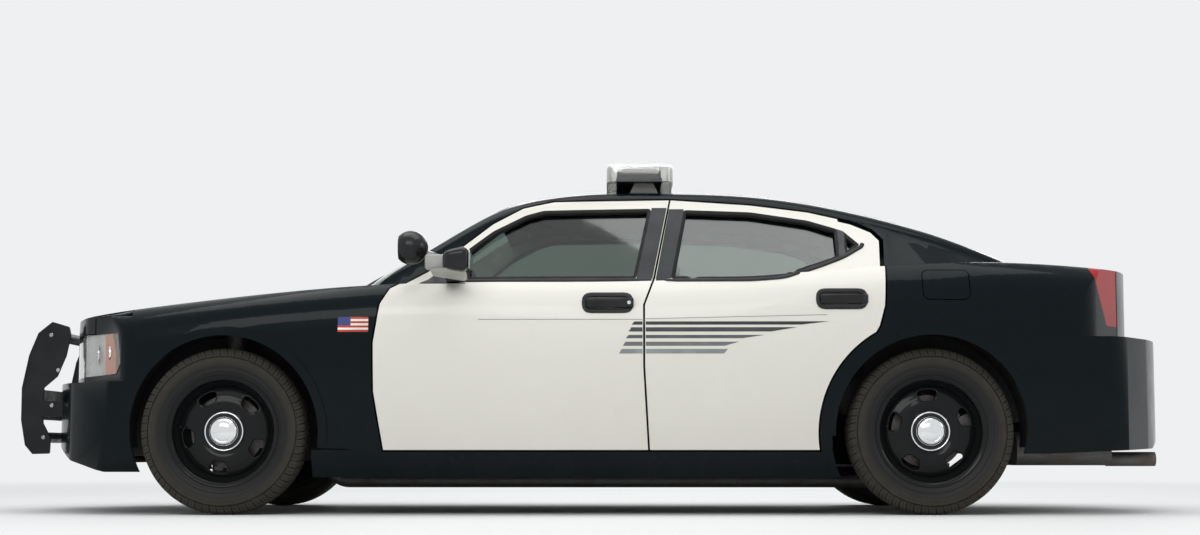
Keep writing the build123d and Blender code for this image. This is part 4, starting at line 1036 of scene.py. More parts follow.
# One vent is an opening in the sector around it: loops of points run from its edge to the sector's border.
def makeDisc(centre, side, ventTurn):
    mid = wheelLook["ventRadius"]
    halfTurn = math.pi / wheelLook["ventCount"]
    lowRow, highRow = wheelLook["sectorRows"]
    halfWide = halfTurn * mid
    top, bottom = (math.atan2(edge - mid, halfWide) for edge in (highRow, lowRow))
    edgeSteps, arcSteps = wheelLook["discSteps"]
    sideRays = [bottom + (top - bottom) * n / edgeSteps for n in range(edgeSteps + 1)]
    topRays = [top + (math.pi - 2 * top) * n / arcSteps for n in range(1, arcSteps)]
    lowRays = [math.pi - bottom + (math.pi + 2 * bottom) * n / arcSteps for n in range(1, arcSteps)]
    rays = sideRays + topRays + [math.pi - ray for ray in reversed(sideRays)] + lowRays
    count = len(rays)
    loops = wheelLook["ventLoops"]
    radii = [radius for radius, _ in wheelLook["dish"]]
    verts, faces = [], []

    def border(ray):
        cos, sin = math.cos(ray), math.sin(ray)
        reaches = [halfWide / abs(cos)] if abs(cos) > 1e-9 else []
        if abs(sin) > 1e-9:
            reaches.append(((highRow if sin > 0 else lowRow) - mid) / sin)
        return Vector((min(reaches) * cos, min(reaches) * sin))

    def addPoint(turn, radius, rise):
        verts.append((radius * math.cos(turn), side * (dishAt(radius) + rise), radius * math.sin(turn)))

    for vent in range(wheelLook["ventCount"]):
        base = math.radians(ventTurn) + 2 * halfTurn * vent
        first = len(verts)
        rings = [([ventEdge(ray, more) for ray in rays], rise) for more, rise in loops]
        outermost = rings[-1][0]
        for share in (0.5, 1):
            rings.append(([flat.lerp(border(ray), share) for flat, ray in zip(outermost, rays)], 0))
        for flats, rise in rings:
            for flat in flats:
                addPoint(base - flat.x / mid, mid + flat.y, rise)
        for loop in range(len(rings) - 1):
            a, b = first + loop * count, first + (loop + 1) * count
            for n in range(count):
                m = (n + 1) % count
                faces.append((a + n, a + m, b + m, b + n))
        edge = first + (len(rings) - 1) * count
        for rows, chosen in (  # from the sector's border to the rim and to the hub
            ([r for r in radii if r > highRow], range(edgeSteps, edgeSteps + arcSteps + 1)),
            ([r for r in reversed(radii) if r < lowRow], [*range(2 * edgeSteps + arcSteps, count), 0]),
        ):
            last = [edge + n for n in chosen]
            for radius in rows:
                current = list(range(len(verts), len(verts) + len(chosen)))
                for n in chosen:
                    addPoint(base - border(rays[n]).x / mid, radius, 0)
                for k in range(len(current) - 1):
                    faces.append((last[k], last[k + 1], current[k + 1], current[k]))
                last = current
    made = meshFrom("disc", [Vector(centre) + Vector(v) for v in verts], faces, "wheelPaint", 180, 0.0003)
    if sum(face.normal.y * side * face.area for face in made.data.polygons) < 0:
        made.data.flip_normals()
    wallInwards(made, wheelLook["sheet"])
    made = finer(made)
    made.data.shade_smooth()
    return made


def makeWheels():
    look = wheelLook
    for end, _, word, _ in doorsByEnd:
        body = f"{end}_{word.lower()}_wheel"
        centre = jointPlace[f"{body}_spin"]
        side = math.copysign(1, centre.y)
        label = end.title() + word

        def spun(part, finish, angle, segments=96):
            return lathe(part, look[part], centre, finish, segments, side, angle)

        makeTyre(end, word, centre, side)
        stem = [centre + Vector((x, y * side, z)) for x, y, z in look["valve"]]
        disc = makeDisc(centre, side, look["ventTurns"][end + word])
        parts = [spun("rim", "wheelPaint", 40, 120), disc, tube("valve", stem, look["valveRadius"], "seal")]
        piece(f"rim{label}", parts, body, "black_wheel", [f"wheel_{end}_{word.lower()}"])
        chrome = [spun(part, "chrome", 50) for part in ("cap", "capDome")]
        piece(f"capChrome{label}", chrome, body, "grey_metal")
        piece(f"capDish{label}", [spun("capDish", "trimPlastic", 40)], body, "black_plastic")
        piece(f"rotor{label}", [spun("rotor", "rotorSteel", 30)], body, "raw_steel")


makeWheels()
print("wheels made")


# Seals, bands and films on the sides. Outlines are (aft, z) in metres, as seen from the left.


windowLook = {
    "front": (
        (1.04, 1.022), (1.04, 1.154), (1.151, 1.24), (1.295, 1.314), (1.373, 1.336), (1.849, 1.344),
        (1.78, 1.022),
    ),
    "rear": (
        (1.933, 1.022), (1.995, 1.338), (2.29, 1.328), (2.544, 1.29), (2.675, 1.25), (2.675, 1.122),
        (2.597, 1.093), (2.423, 1.032), (2.274, 1.022),
    ),
    "quarter": ((2.7, 1.24), (2.764, 1.18), (2.7, 1.134)),
    "seals": {"front": {"front": 0.014}, "rear": {"rear": 0.014, "quarter": 0.005}},  # window: corner radius
    "away": 0.006,  # from the window's outline to the rubber's
    # a rubber frame: (inwards from its outline, proud of the skin)
    "rubber": (
        (0.003, 0.0012), (0.01, 0.0018), (0.0185, -0.002), (0.0195, -0.017), (0.009, -0.0175),
        (0.0088, -0.001),
    ),
    "belt": (
        (-0.01, -0.001), (-0.009, 0.0035), (-0.004, 0.0055), (0.006, 0.005), (0.009, 0.0025),
        (0.009, -0.001),
    ),
    "frontBelt": ((0.842, 1.006), (0.9, 1.0095), (1.848, 1.0115)),
    "rearBelt": (
        (1.868, 1.0115), (2.28, 1.0115), (2.425, 1.022), (2.6, 1.083), (2.69, 1.119), (2.776, 1.171),
        (2.782, 1.185),
    ),
    "films": {  # outline, finish, how far it stands out
        "front": (
            (((1.783, 1.02), (1.853, 1.351), (1.9195, 1.351), (1.852, 1.02)), "pillarGrey", 0.0016),
            (
                (
                    (0.84, 0.998), (0.868, 1.018), (0.932, 1.068), (1.041, 1.152), (1.041, 1.015),
                    (1.041, 0.998),
                ),
                "trimPlastic", 0.0022,
            ),
        ),
        "rear": (
            (((1.867, 1.02), (1.93, 1.345), (1.996, 1.345), (1.932, 1.02)), "pillarGrey", 0.0016),
            (((2.673, 1.118), (2.702, 1.131), (2.702, 1.243), (2.673, 1.254)), "pillarGrey", 0.0018),
        ),
    },
}


def makeWindowTrim():
    look = windowLook
    for end, side, word, node in doors:
        tree = skinOf(node)
        parts = [
            band("rubber", tree, look[window], look["away"], look["rubber"], "seal", side, rounding)
            for window, rounding in look["seals"][end].items()
        ]
        parts.append(line("belt", tree, look[f"{end}Belt"], look["belt"], "trimPlastic", side))
        piece(f"windowSeal{end.title()}{word}", parts, bodyOf[node], "black_plastic")
        covers = [filmOn("film", tree, *film, cell=0.04, side=side) for film in look["films"][end]]
        piece(f"pillarCover{end.title()}{word}", covers, bodyOf[node], "black_plastic")


handleLook = {
    "front": (1.56, 0.909),  # aft and height of the pull
    "rear": (2.567, 0.925),
    "length": 0.195,
    "rim": (0.012, 0.044),  # the ring's reach past the pull's ends, and above and below its middle
    "ringRadius": 0.04,
    "ring": (
        (-0.002, -0.002), (-0.0015, 0.0025), (0.003, 0.0045), (0.014, 0.004), (0.0185, 0.0015),
        (0.019, -0.003),
    ),
    "ringStep": 0.008,
    # how far aft of the end and start of its length the pull reaches, its y inside and outside, half height
    "pull": (0.0145, 0.0065, 0.902, 0.9497, 0.0195),
    "lock": (
        (0, 0.0001), (0.0018, 0.0001), (0.0018, 0.0045), (0.0026, 0.0048), (0.0026, 0.0078),
        (0.0008, 0.009), (-0.002, 0.009),
    ),
}


def makeHandles():
    look = handleLook
    wide, tall = look["rim"]
    beyond, before, inside, outside, half = look["pull"]
    for end, side, word, node in doors:
        start, z = look[end]
        finish = start + look["length"]
        left, right = start - wide, finish + wide
        outline = ((left, z - tall), (left, z + tall), (right, z + tall), (right, z - tall))
        rounding = (look["ringRadius"], look["ringStep"])
        ring = band("ring", skinOf(node), outline, 0, look["ring"], "trimPlastic", side, *rounding)
        size = (finish + beyond, start + before, inside, outside, z - half, z + half)
        pull = blocks(("pull", size, 0.004, "glossPlastic"))
        piece(f"handle{end.title()}{word}", [ring, *sided(side, pull)], bodyOf[node], "black_plastic")
        if end == "front":
            centre = (xAt(finish - 0.005), side * 0.9499, z)
            lock = lathe("lock", look["lock"], centre, "chrome", 24, side, 35, False)
            piece(f"lock{word}", [lock], bodyOf[node], "grey_metal")


decalLook = {
    # stripe: height of the band, left end at its top, right end at its top, how far the right end leans
    "stripes": (
        (0.8131, 0.8272, 1.7726, 2.6071, 0.12), (0.7835, 0.8019, 1.7597, 2.4699, 0.112),
        (0.7547, 0.7689, 1.7477, 2.3284, 0.092), (0.7221, 0.7397, 1.7344, 2.2212, 0.062),
        (0.6891, 0.7088, 1.7181, 2.174, 0.018),
    ),
    "leanLeft": -0.012,
    "shut": (1.8075, 1.8215),  # where the stripes leave out the gap between the doors
    "pinLine": {"front": ((1.1, 0.8365), (1.8065, 0.8365)), "rear": ((1.8225, 0.839), (2.6, 0.856))},
    "pinSection": ((-0.0011, -0.0003), (-0.0011, 0.0006), (0.0011, 0.0006), (0.0011, -0.0003)),
    "flag": (0.498, 0.629, 0.783, 0.848),
    "flagRows": 7,
    "flagCanton": (0.42, 3),  # its share of the length, the first row it covers
    "film": (0.0007, 0.0005, 0.05),  # lift, sink, cell
}


def decal(tree, left, right, low, high, finish, side, leanLeft=0, leanRight=0):
    outline = ((left, high), (left + leanLeft, low), (right - leanRight, low), (right, high))
    return filmOn("decal", tree, outline, finish, *decalLook["film"], side)


def makeFlag(side, word):
    look = decalLook
    start, finish, bottom, top = look["flag"]
    share, cantonRow = look["flagCanton"]
    split = start + (finish - start) * share
    heights = [bottom + (top - bottom) * n / look["flagRows"] for n in range(look["flagRows"] + 1)]
    fender = skinOf("fenders")
    parts = []
    for n, (low, high) in enumerate(zip(heights, heights[1:])):
        colour = "decalWhite" if n % 2 else "decalRed"
        parts.append(decal(fender, split if n >= cantonRow else start, finish, low, high, colour, side))
    parts.append(decal(fender, start, split, heights[cantonRow], top, "decalBlue", side))
    piece(f"flag{word}", parts, "body", "white_paint")


def makeDecals():
    look = decalLook
    frontEnd, rearStart = look["shut"]
    for end, side, word, node in doors:
        tree = skinOf(node)
        parts = []
        for n, (low, high, start, finish, lean) in enumerate(look["stripes"]):
            tone = f"stripe{n + 1}"
            if end == "front":
                parts.append(decal(tree, start, frontEnd, low, high, tone, side, look["leanLeft"]))
            else:
                parts.append(decal(tree, rearStart, finish, low, high, tone, side, 0, lean))
        parts.append(line("pin", tree, look["pinLine"][end], look["pinSection"], "stripe4", side))
        piece(f"stripes{end.title()}{word}", parts, bodyOf[node], "black_plastic")
        if end == "rear":
            makeFlag(side, word)


makeWindowTrim()
makeHandles()
makeDecals()
print("seals, handles and decals made")


# Lamps. A lens is the outer skin of its CAD solid, a few millimetres thick.


headlampLook = {
    "glass": (-0.0003, -0.003),
    "back": (-0.03, -0.032),
    "bowlDepth": 0.045,
    "bowls": ((-0.648, 0.505, 0.69, 0.062), (-0.59, 0.65, 0.695, 0.056), (-0.52, 0.76, 0.7, 0.04)),
    "amber": ((-0.543, 0.602), (-0.547, 0.78), (-0.508, 0.784), (-0.486, 0.7), (-0.484, 0.602)),
}
tailLampLook = {"glass": (-0.0003, -0.003), "back": (-0.026, -0.028)}


# A bowl that opens forwards, with its bulb inside.
def lampBowl(x, y, z, radius):
    depth = headlampLook["bowlDepth"]
    place = Matrix.Translation((x, y, z)) @ turned(-90, "Z")
    profile = [(-depth * (1 - (k / 8) ** 2), max(0.0001, radius * k / 8)) for k in range(9)]
    back = [(offset - 0.0015, size) for offset, size in reversed(profile)]
    bulb = [(-depth + 0.002, 0.006), (-depth * 0.45, 0.0075), (-depth * 0.3, 0.0055), (-depth * 0.25, 0.0001)]
    return [
        turnedPart("bowl", profile + back, place, "reflector", 40, 50, True),
        turnedPart("bulb", bulb, place, "palePlastic", 20, 50),
    ]


def lampShells(node, label, look, outer, lens, housing):
    pieceFor(node, f"{label}Glass", [skinShell(node, "glass", outer, *look["glass"], lens)])
    back = skinShell(node, "back", outer, *look["back"], housing)
    piece(f"{label}Housing", [back], "body", "black_plastic")


def makeLamps():
    forwards = lambda normal: normal.x + abs(normal.y) * 0.9 > 0.45 and abs(normal.z) < 0.85
    backwards = lambda normal: -normal.x + abs(normal.y) * 0.9 + normal.z * 0.8 > 0.4
    lampShells("headlamps", "headlamp", headlampLook, forwards, "clearLens", "lampSilver")
    tree = skinOf("headlamps")
    bowls, amber = [], []
    for side, _ in sides:
        for aft, y, z, radius in headlampLook["bowls"]:
            bowls += lampBowl(xAt(aft), side * y, z, radius)
        amber.append(filmOn("amber", tree, headlampLook["amber"], "amberLens", -0.0034, 0.009, 0.03, side))
    piece("headlampBowls", bowls, "body", "grey_metal")
    piece("headlampAmber", amber, "body", "clear_lens")
    lampShells("tail_lamps", "tailLamp", tailLampLook, backwards, "redLens", "lampRedBack")


makeLamps()
print("lamps made")


# Mirrors, spotlight and light bar


mirrorLook = {  # (aft of both ends, y of both sides, z of both faces), radius, finish, segments
    "cap": ((1.069, 0.956, 0.907, 1.093, 1.034, 1.139), 0.03, "glossPlastic", 6),
    "base": ((1.052, 0.902, 0.905, 1.08, 1.002, 1.047), 0.018, "mirrorGrey", 5),
    "lampBox": ((0.962, 0.88, 0.96, 1.03, 1.047, 1.11), 0.008, "mirrorGrey", 4),
    "foot": ((1.03, 0.955, 0.835, 0.912, 1.006, 1.043), 0.012, "trimPlastic", 4),
    "lampFace": ((0.8815, 0.8775, 0.967, 1.023, 1.053, 1.104), 0.004, "clearLens", 3),
    "glass": ((1.0715, 1.0695, 0.922, 1.078, 1.047, 1.126), 0.0009, "mirrorGlass", 2),
}
mirrorTapers = {  # aft of its start and end, middle (y, z), share lost of each
    "cap": (1.03, 0.95, (1.0, 1.075), (0.16, 0.34)),
    "base": (1.05, 0.9, (0.985, 1.046), (0.25, 0.5)),
}


def makeMirrors():
    for side, word in sides:
        made = {name: blocks((name, *look))[0] for name, look in mirrorLook.items()}
        for name, (start, finish, centre, shrink) in mirrorTapers.items():
            tapered(made[name], xAt(start), xAt(finish), centre, shrink)
        for vert in made["base"].data.vertices:  # its underside slopes in towards the door
            vert.co.z += 0.42 * max(0, vert.co.y - 0.955) * (1.047 - vert.co.z) / 0.045
        glass, lens, *shell = (made[name] for name in ("glass", "lampFace", "cap", "base", "lampBox", "foot"))
        node = f"mirror_{word.lower()}"
        pieceFor(node, f"mirrorShell{word}", sided(side, shell))
        piece(f"mirrorLamp{word}", sided(side, [lens]), bodyOf[node], "clear_lens")
        piece(f"mirrorGlass{word}", sided(side, [glass]), bodyOf[node], "grey_metal")


spotLook = {
    "centre": (0.807, 0.905, 1.15),
    "radius": 0.0738,
    "face": 0.053,
    "stem": ((0.812, 0.862, 1.148), (0.85, 0.8, 1.146), (0.905, 0.7, 1.132)),
    "stemRadius": 0.0115,
    "nut": (0.052, 0.012, -0.055, -0.028, -0.022, 0.018),  # from the centre: aft, y and z of both faces
}


def makeSpotlight():
    look = spotLook
    aft, y, z = look["centre"]
    radius, face = look["radius"], look["face"]
    edge = math.sqrt(radius**2 - face**2)
    turns = [math.pi - (math.pi - math.acos(face / radius)) * k / 24 for k in range(25)]
    ball = [(radius * math.cos(turn), max(0.0001, radius * math.sin(turn))) for turn in turns]
    rim = [(face + 0.0008, edge - 0.002), (face - 0.004, edge - 0.0045)]
    back = [(face - 0.03, 0.03), (face - 0.042, 0.0001)]
    lens = [(face - 0.0035, edge - 0.004), (face - 0.0005, edge - 0.003), (face - 0.0002, 0.0001)]
    place = Matrix.Translation((xAt(aft), y, z)) @ turned(-90, "Z")
    shell = turnedPart("shell", ball, place, "glossPlastic", 48, 40)
    bowl = turnedPart("bowl", [(face, edge), *rim, *back], place, "reflector", 48, 50)
    glass = turnedPart("glass", lens, place, "clearLens", 48, 50)
    points = [(xAt(along), across, height) for along, across, height in look["stem"]]
    stem = tube("stem", points, look["stemRadius"], "aluminium", sides=4)
    size = [base + shift for base, shift in zip((aft, aft, y, y, z, z), look["nut"])]
    pieceFor("spotlight", "spotlightShell", [shell, *blocks(("nut", size, 0.006, "trimPlastic"))])
    piece("spotlightBowl", [bowl, stem], "body", "grey_metal")
    piece("spotGlass", [glass], "body", "clear_lens")


barLook = {
    "front": 1.651, "back": 1.952, "half": 0.59, "low": 1.492, "high": 1.562, "wall": 0.003,
    "moduleStep": 0.125, "moduleCount": 4, "moduleStart": 0.035,
    "module": (0.008, 0.112, 0.006, 0.012),  # both ends along its step, free below and above
    "lens": (0.014, 0.106, 0.01, 0.016),
    "moduleDepth": 0.04,
    "tray": (1.695, 1.902, 0.58, 1.479),  # front, back, half width, underside
    "foot": {"y": 0.5, "half": 0.032, "top": (1.778, 1.862), "bottom": (1.756, 1.884)},
}


# A rounded plan outline, extruded with a domed top.
def domed(name, inset, low, high, crown, finish):
    look = barLook
    front, back, half = look["front"] + inset, look["back"] - inset, look["half"] - inset
    corners = [(front, half), (front, -half), (back, -half), (back, half)]
    outline = roundOutline(corners, 0.058 - inset / 2, 0.012)
    rows = [(0.0, low), (0.0, high - crown)]
    for degrees in (22, 45, 67, 90):
        turn = math.radians(degrees)
        rows.append((crown * (1 - math.cos(turn)), high - crown + crown * math.sin(turn)))
    verts, faces = [], []
    count = len(outline)
    for pull, height in rows:
        ring = pushOutline(outline, -pull) if pull else outline
        verts.extend((xAt(p.x), p.y, height) for p in ring)
    for a in range(0, len(rows) * count - count, count):
        for n in range(count):
            m = (n + 1) % count
            faces.append((a + n, a + m, a + count + m, a + count + n))
    faces.append(tuple(range(count)))
    faces.append(tuple(range(len(verts) - count, len(verts))))
    return meshFrom(name, verts, faces, finish, 40)


# A foot narrows upwards from the roof to the tray: an outline given a thickness, its edges rounded.
def lightBarFoot(side):
    look = barLook["foot"]
    roof = skinOf("roof_panel")
    outer, inner = (side * (look["y"] + reach) for reach in (look["half"], -look["half"]))
    outline = [(aft, meet(roof, aft, outer, 0)[0].z - 0.001) for aft in look["bottom"]]
    outline += [(aft, barLook["tray"][3] + 0.001) for aft in reversed(look["top"])]
    work = bmesh.new()
    near, far = ([work.verts.new((xAt(aft), y, z)) for aft, z in outline] for y in (inner, outer))
    work.faces.new(near)
    work.faces.new(far[::-1])
    for n in range(len(outline)):
        work.faces.new((near[n - 1], far[n - 1], far[n], near[n]))
    bmesh.ops.recalc_face_normals(work, faces=work.faces)
    rims = [edge for edge in work.edges if edge.calc_face_angle(0) > 1.0]
    bmesh.ops.bevel(work, geom=rims, offset=0.004, segments=2, profile=0.5, affect="EDGES")
    return meshOf("foot", work, "footGrey", 35)


def makeLightBar():
    look = barLook
    trayFront, trayBack, trayHalf, underside = look["tray"]
    high, wall = look["high"], look["wall"]
    outer = domed("dome", 0.0, underside + 0.0005, high, 0.022, "domeLens")
    inner = domed("inner", wall, underside + 0.003, high - wall, 0.02, "domeLens")
    inner.data.flip_normals()
    pieceFor("lightbar_lens", "lightBarDome", [outer, inner])
    modules, lenses = [], []
    low, high = look["low"] + 0.002, high - 0.013
    for facing, front in ((1, trayFront + 0.004), (-1, trayBack - 0.004)):
        x = xAt(front) + facing * 0.0015
        for half in (1, -1):
            step = (0, half * look["moduleStep"], 0)
            begin = look["moduleStart"]
            (y1, y2, z1, z2), (lensY1, lensY2, lensZ1, lensZ2) = (
                (half * (begin + near), half * (begin + far), low + below, high - above)
                for near, far, below, above in (look["module"], look["lens"])
            )
            size = (front, front + facing * look["moduleDepth"], y1, y2, z1, z2)
            block = blocks(("module", size, 0.003, "trimPlastic", 1))[0]
            modules.append(row(block, "trimPlastic", look["moduleCount"], step))
            corners = ((x - 0.002, lensY1, lensZ1), (x + 0.002, lensY2, lensZ2))
            lens = roundedBox("lens", *corners, 0.001, "reflector", 1)
            lenses.append(row(lens, "reflector", look["moduleCount"], step))
    modules.append(domed("hump", 0.062, look["low"] + 0.004, look["high"] - 0.012, 0.02, "roughPlastic"))
    size = (trayBack, trayFront, -trayHalf, trayHalf, underside, low + 0.006)
    pieceFor("lightbar_base", "lightBarBase", blocks(("tray", size, 0.004, "trimPlastic", 2)))
    piece("lightBarModules", modules, "body", slotOf["lightbar_base"])
    piece("lightBarReflectors", lenses, "body", "grey_metal")
    piece("lightBarFeet", [lightBarFoot(1), lightBarFoot(-1)], "body", "grey_metal")


# Front and rear ends


guardLook = {
    "rubber": ((-0.941, 0.808), (-0.981, 0.708), (-1.01, 0.56), (-1.01, 0.415), (-0.989, 0.303)),
    "rubberRadius": 0.0085,
    "rubberY": 0.407,
    "boltY": 0.4145,
    "bolts": ((-0.845, 0.64), (-0.87, 0.48), (-0.905, 0.335), (-0.88, 0.8)),
    "bolt": ((-0.001, 0.0001), (-0.001, 0.01), (0.004, 0.01), (0.007, 0.0072), (0.007, 0.0001)),
    "pad": ((-1.005, -0.9955, -0.396, 0.396, 0.428, 0.552), 0.004, "seal"),
}


def makePushBumper():
    look = guardLook
    dressNode("push_bumper", "pushBumper", ["guardPaint"])
    radius = look["rubberRadius"]
    rubber, heads = [], []
    for side, _ in sides:
        points = roundOutline(look["rubber"], 0.04, 0.02, closed=False)
        path = [(xAt(aft) - radius, side * look["rubberY"], z) for aft, z in points]
        rubber.append(tube("guardRubber", path, radius, "seal", smooth=False, sides=2))
        for aft, z in look["bolts"]:
            centre = (xAt(aft), side * look["boltY"], z)
            heads.append(lathe("bolt", look["bolt"], centre, "steel", 12, side, 35, False))
    piece("pushBumperRubber", rubber + blocks(("guardPad", *look["pad"])), "body", "black_plastic")
    piece("pushBumperBolts", heads, "body", "raw_steel")


plateLook = {
    "plate": ((4.1817, 4.1782, -0.152, 0.152, 0.556, 0.678), 0.001, "plate", 2),
    "rim": ((-0.154, 0.553), (0.154, 0.553), (0.154, 0.681), (-0.154, 0.681)),
    "rimAft": 4.1825,
    "screws": ((-0.09, 0.57), (-0.09, 0.664), (0.09, 0.57), (0.09, 0.664)),
    "screw": ((0, 0.0001), (0, 0.005), (0.002, 0.0035), (0.002, 0.0001)),
    "screwAft": 4.1817,
}


def makePlates():
    look = plateLook
    piece("rearPlate", blocks(("plate", *look["plate"])), "body", "white_paint")
    rim = [(xAt(look["rimAft"]), y, z) for y, z in roundOutline(look["rim"], 0.012, 0.03)]
    parts = [tube("plateRim", rim, 0.0028, "trimPlastic", closed=True, smooth=False, sides=2)]
    for y, z in look["screws"]:
        place = Matrix.Translation((xAt(look["screwAft"]), y, z)) @ turned(90, "Z")
        parts.append(turnedPart("screw", look["screw"], place, "steel", 10))
    piece("rearPlateRim", parts, "body", "black_plastic")


wiperLook = {
    "pivotAft": 0.075,  # behind the aft below
    "armReach": (0.085, 0.105, 0.62),  # where it starts, how far back it goes, share of the blade across
    "armLift": (0.02, 0.008),  # above the glass at its start, and how much it comes down
    "bladeLift": 0.0045,
    "wipers": ((0.47, 0.34, 0.52), (0.47, -0.26, 0.5)),  # aft and y of the pivot, length of the blade
    "lean": 0.1,
    "pivot": ((-0.012, 0.0001), (-0.012, 0.013), (0.008, 0.013), (0.012, 0.009), (0.012, 0.0001)),
}


def makeWipers():
    look = wiperLook
    begin, back, across = look["armReach"]
    lift, drop = look["armLift"]
    tree = skinOf("windshield", "cowl", "hood", "roof_panel")
    parts = []
    for aft, y, length in look["wipers"]:
        start, _ = meet(tree, aft + look["pivotAft"], y, 0)
        arm, blade = [], []
        for share in (k / 8 for k in range(9)):
            place, normal = meet(tree, aft + begin + back * share, y - length * across * share, 0)
            arm.append(place + normal * (lift - drop * share))
        middle = arm[-1]
        for share in (k / 14 - 0.5 for k in range(15)):
            spot = frontAxle.x - middle.x + look["lean"] * share * length
            place, normal = meet(tree, spot, middle.y - share * length, 0)
            if place is not None:
                blade.append(place + normal * look["bladeLift"])
        spine = [point + Vector((0, 0, 0.006)) for point in blade[2:-2]]
        parts.append(tube("arm", [start + Vector((0.004, 0, 0.016)), *arm], 0.0048, "roughPlastic", sides=2))
        parts.append(tube("blade", blade, 0.0042, "seal", sides=2))
        parts.append(tube("spine", spine, 0.003, "roughPlastic", sides=2))
        place = Matrix.Translation(start + Vector((0, 0, 0.006))) @ turned(90, "X")
        parts.append(turnedPart("pivot", look["pivot"], place, "roughPlastic", 20))
    piece("wipers", parts, "body", "black_plastic")


makeMirrors()
makeSpotlight()
makeLightBar()
makePushBumper()
dressNode("grille", "grilleFrame", ["trimPlastic"])
makePlates()
makeWipers()
print("mirrors, lights, bumpers and wipers made")


# Inside the cabin


seatLook = {
    "rows": (0.375, -0.375),  # the driver's and front passenger's middle line, in metres to the left
    "voxel": 0.013,
    "swell": 0.012,  # how far a point of a cushion may move when it is blown up
    "frames": 20,
    "fill": 0.7,
    "places": {  # aft, z, how many degrees it leans back
        "seatCushion": (1.5, 0.385, 0), "seatBack": (1.73, 0.4, 18), "headRest": (1.73, 0.4, 18),
        "benchCushion": (2.38, 0, 0), "benchBack": (2.57, 0.42, 18),
    },
    # blocks of each cushion: (aft low, aft high, y low, y high, z low, z high), before it swells
    "seatCushion": (
        (-0.24, 0.24, -0.165, 0.165, -0.062, 0.05), (-0.245, 0.235, -0.236, -0.15, -0.062, 0.064),
        (-0.245, 0.235, 0.15, 0.236, -0.062, 0.064),
    ),
    "seatBack": (
        (-0.046, 0.04, -0.16, 0.16, 0.015, 0.605), (-0.046, 0.052, -0.236, -0.15, 0.03, 0.56),
        (-0.046, 0.052, 0.15, 0.236, 0.03, 0.56),
    ),
    "headRest": ((-0.032, 0.032, -0.118, 0.118, 0.625, 0.755),),
    "benchCushion": ((-0.236, 0.236, 0.14, 0.57, 0.315, 0.452),),
    "benchBack": ((-0.046, 0.044, 0.014, 0.535, 0.014, 0.545),),
    "seams": {
        "seatCushion": (("y", 0.158), ("y", -0.158), ("x", 0.09), ("x", -0.06)),
        "seatBack": (("y", 0.156), ("y", -0.156), ("z", 0.2), ("z", 0.4)),
        "benchCushion": (("y", 0.26), ("y", 0.46), ("x", 0.05)),
        "benchBack": (("y", 0.15), ("y", 0.41), ("z", 0.28)),
        "headRest": (),
    },
    "stitch": {"Spacing": 0.009, "Length": 0.0028, "Radius": 0.0008},
    "stitchY": (0.146, 0.166),  # from the seat's middle line, like the head rest's posts
    "postY": 0.055,
    "postHeights": (0.585, 0.62, 0.655),
    "seamDepth": 0.005,
    "seamWidth": 0.016,
    "cloth": {
        "quality": 5, "use_pressure": True, "uniform_pressure_force": 4, "tension_stiffness": 12,
        "compression_stiffness": 12, "bending_stiffness": 1.5,
    },
}


# Blown up like a real cushion: each point moves outwards by no more than the cap.
def blowUp(made, cap):
    start = [vert.co.copy() for vert in made.data.vertices]
    modifier = made.modifiers.new("cloth", "CLOTH")
    for name, value in seatLook["cloth"].items():
        setattr(modifier.settings, name, value)
    modifier.settings.effector_weights.gravity = 0
    modifier.point_cache.frame_start = 1
    modifier.point_cache.frame_end = seatLook["frames"]
    for frameNumber in range(1, seatLook["frames"] + 1):
        bpy.context.scene.frame_set(frameNumber)
    evaluated = made.evaluated_get(bpy.context.evaluated_depsgraph_get())
    places = [vert.co.copy() for vert in evaluated.data.vertices]
    made.modifiers.clear()
    bpy.context.scene.frame_set(1)
    for vert, before, after in zip(made.data.vertices, start, places):
        shift = after - before
        vert.co = before + shift * min(1, cap / max(shift.length, 1e-9))


def makePad(name, kind, matrix):
    look = seatLook
    parts = []
    for xLow, xHigh, yLow, yHigh, zLow, zHigh in look[kind]:
        radius = min(0.035, 0.4 * min(xHigh - xLow, yHigh - yLow, zHigh - zLow))
        parts.append(roundedBox("block", (xLow, yLow, zLow), (xHigh, yHigh, zHigh), radius, "seatCloth"))
    made = joined(name, parts)
    remesh = made.modifiers.new("remesh", "REMESH")
    remesh.mode = "VOXEL"
    remesh.voxel_size = look["voxel"]
    made = bake(made)
    blowUp(made, look["swell"])
    made = finer(made)
    top = 2 if kind in ("seatCushion", "benchCushion") else 0  # the axis that its seat face looks along
    high = max(vert.co[top] for vert in made.data.vertices)
    for vert in made.data.vertices:
        for axis, place in look["seams"][kind] if vert.co[top] >= high - 0.05 else ():
            gap = abs(vert.co["xyz".index(axis)] - place) / look["seamWidth"]
            if gap < 1:
                vert.co[top] -= look["seamDepth"] * (1 - gap) ** 2
    made.data.materials.clear()
    made.data.materials.append(materials["seatCloth"])
    made.data.shade_smooth()
    return moved(made, matrix)


def seated(kind, y):
    aft, z, lean = seatLook["places"][kind]
    return Matrix.Translation((xAt(aft), y, z)) @ turned(-lean, "Y")


def pathMesh(points):
    mesh = bpy.data.meshes.new("stitch")
    mesh.from_pydata([tuple(p) for p in points], [(n, n + 1) for n in range(len(points) - 1)], [])
    return addObject("stitch", mesh)


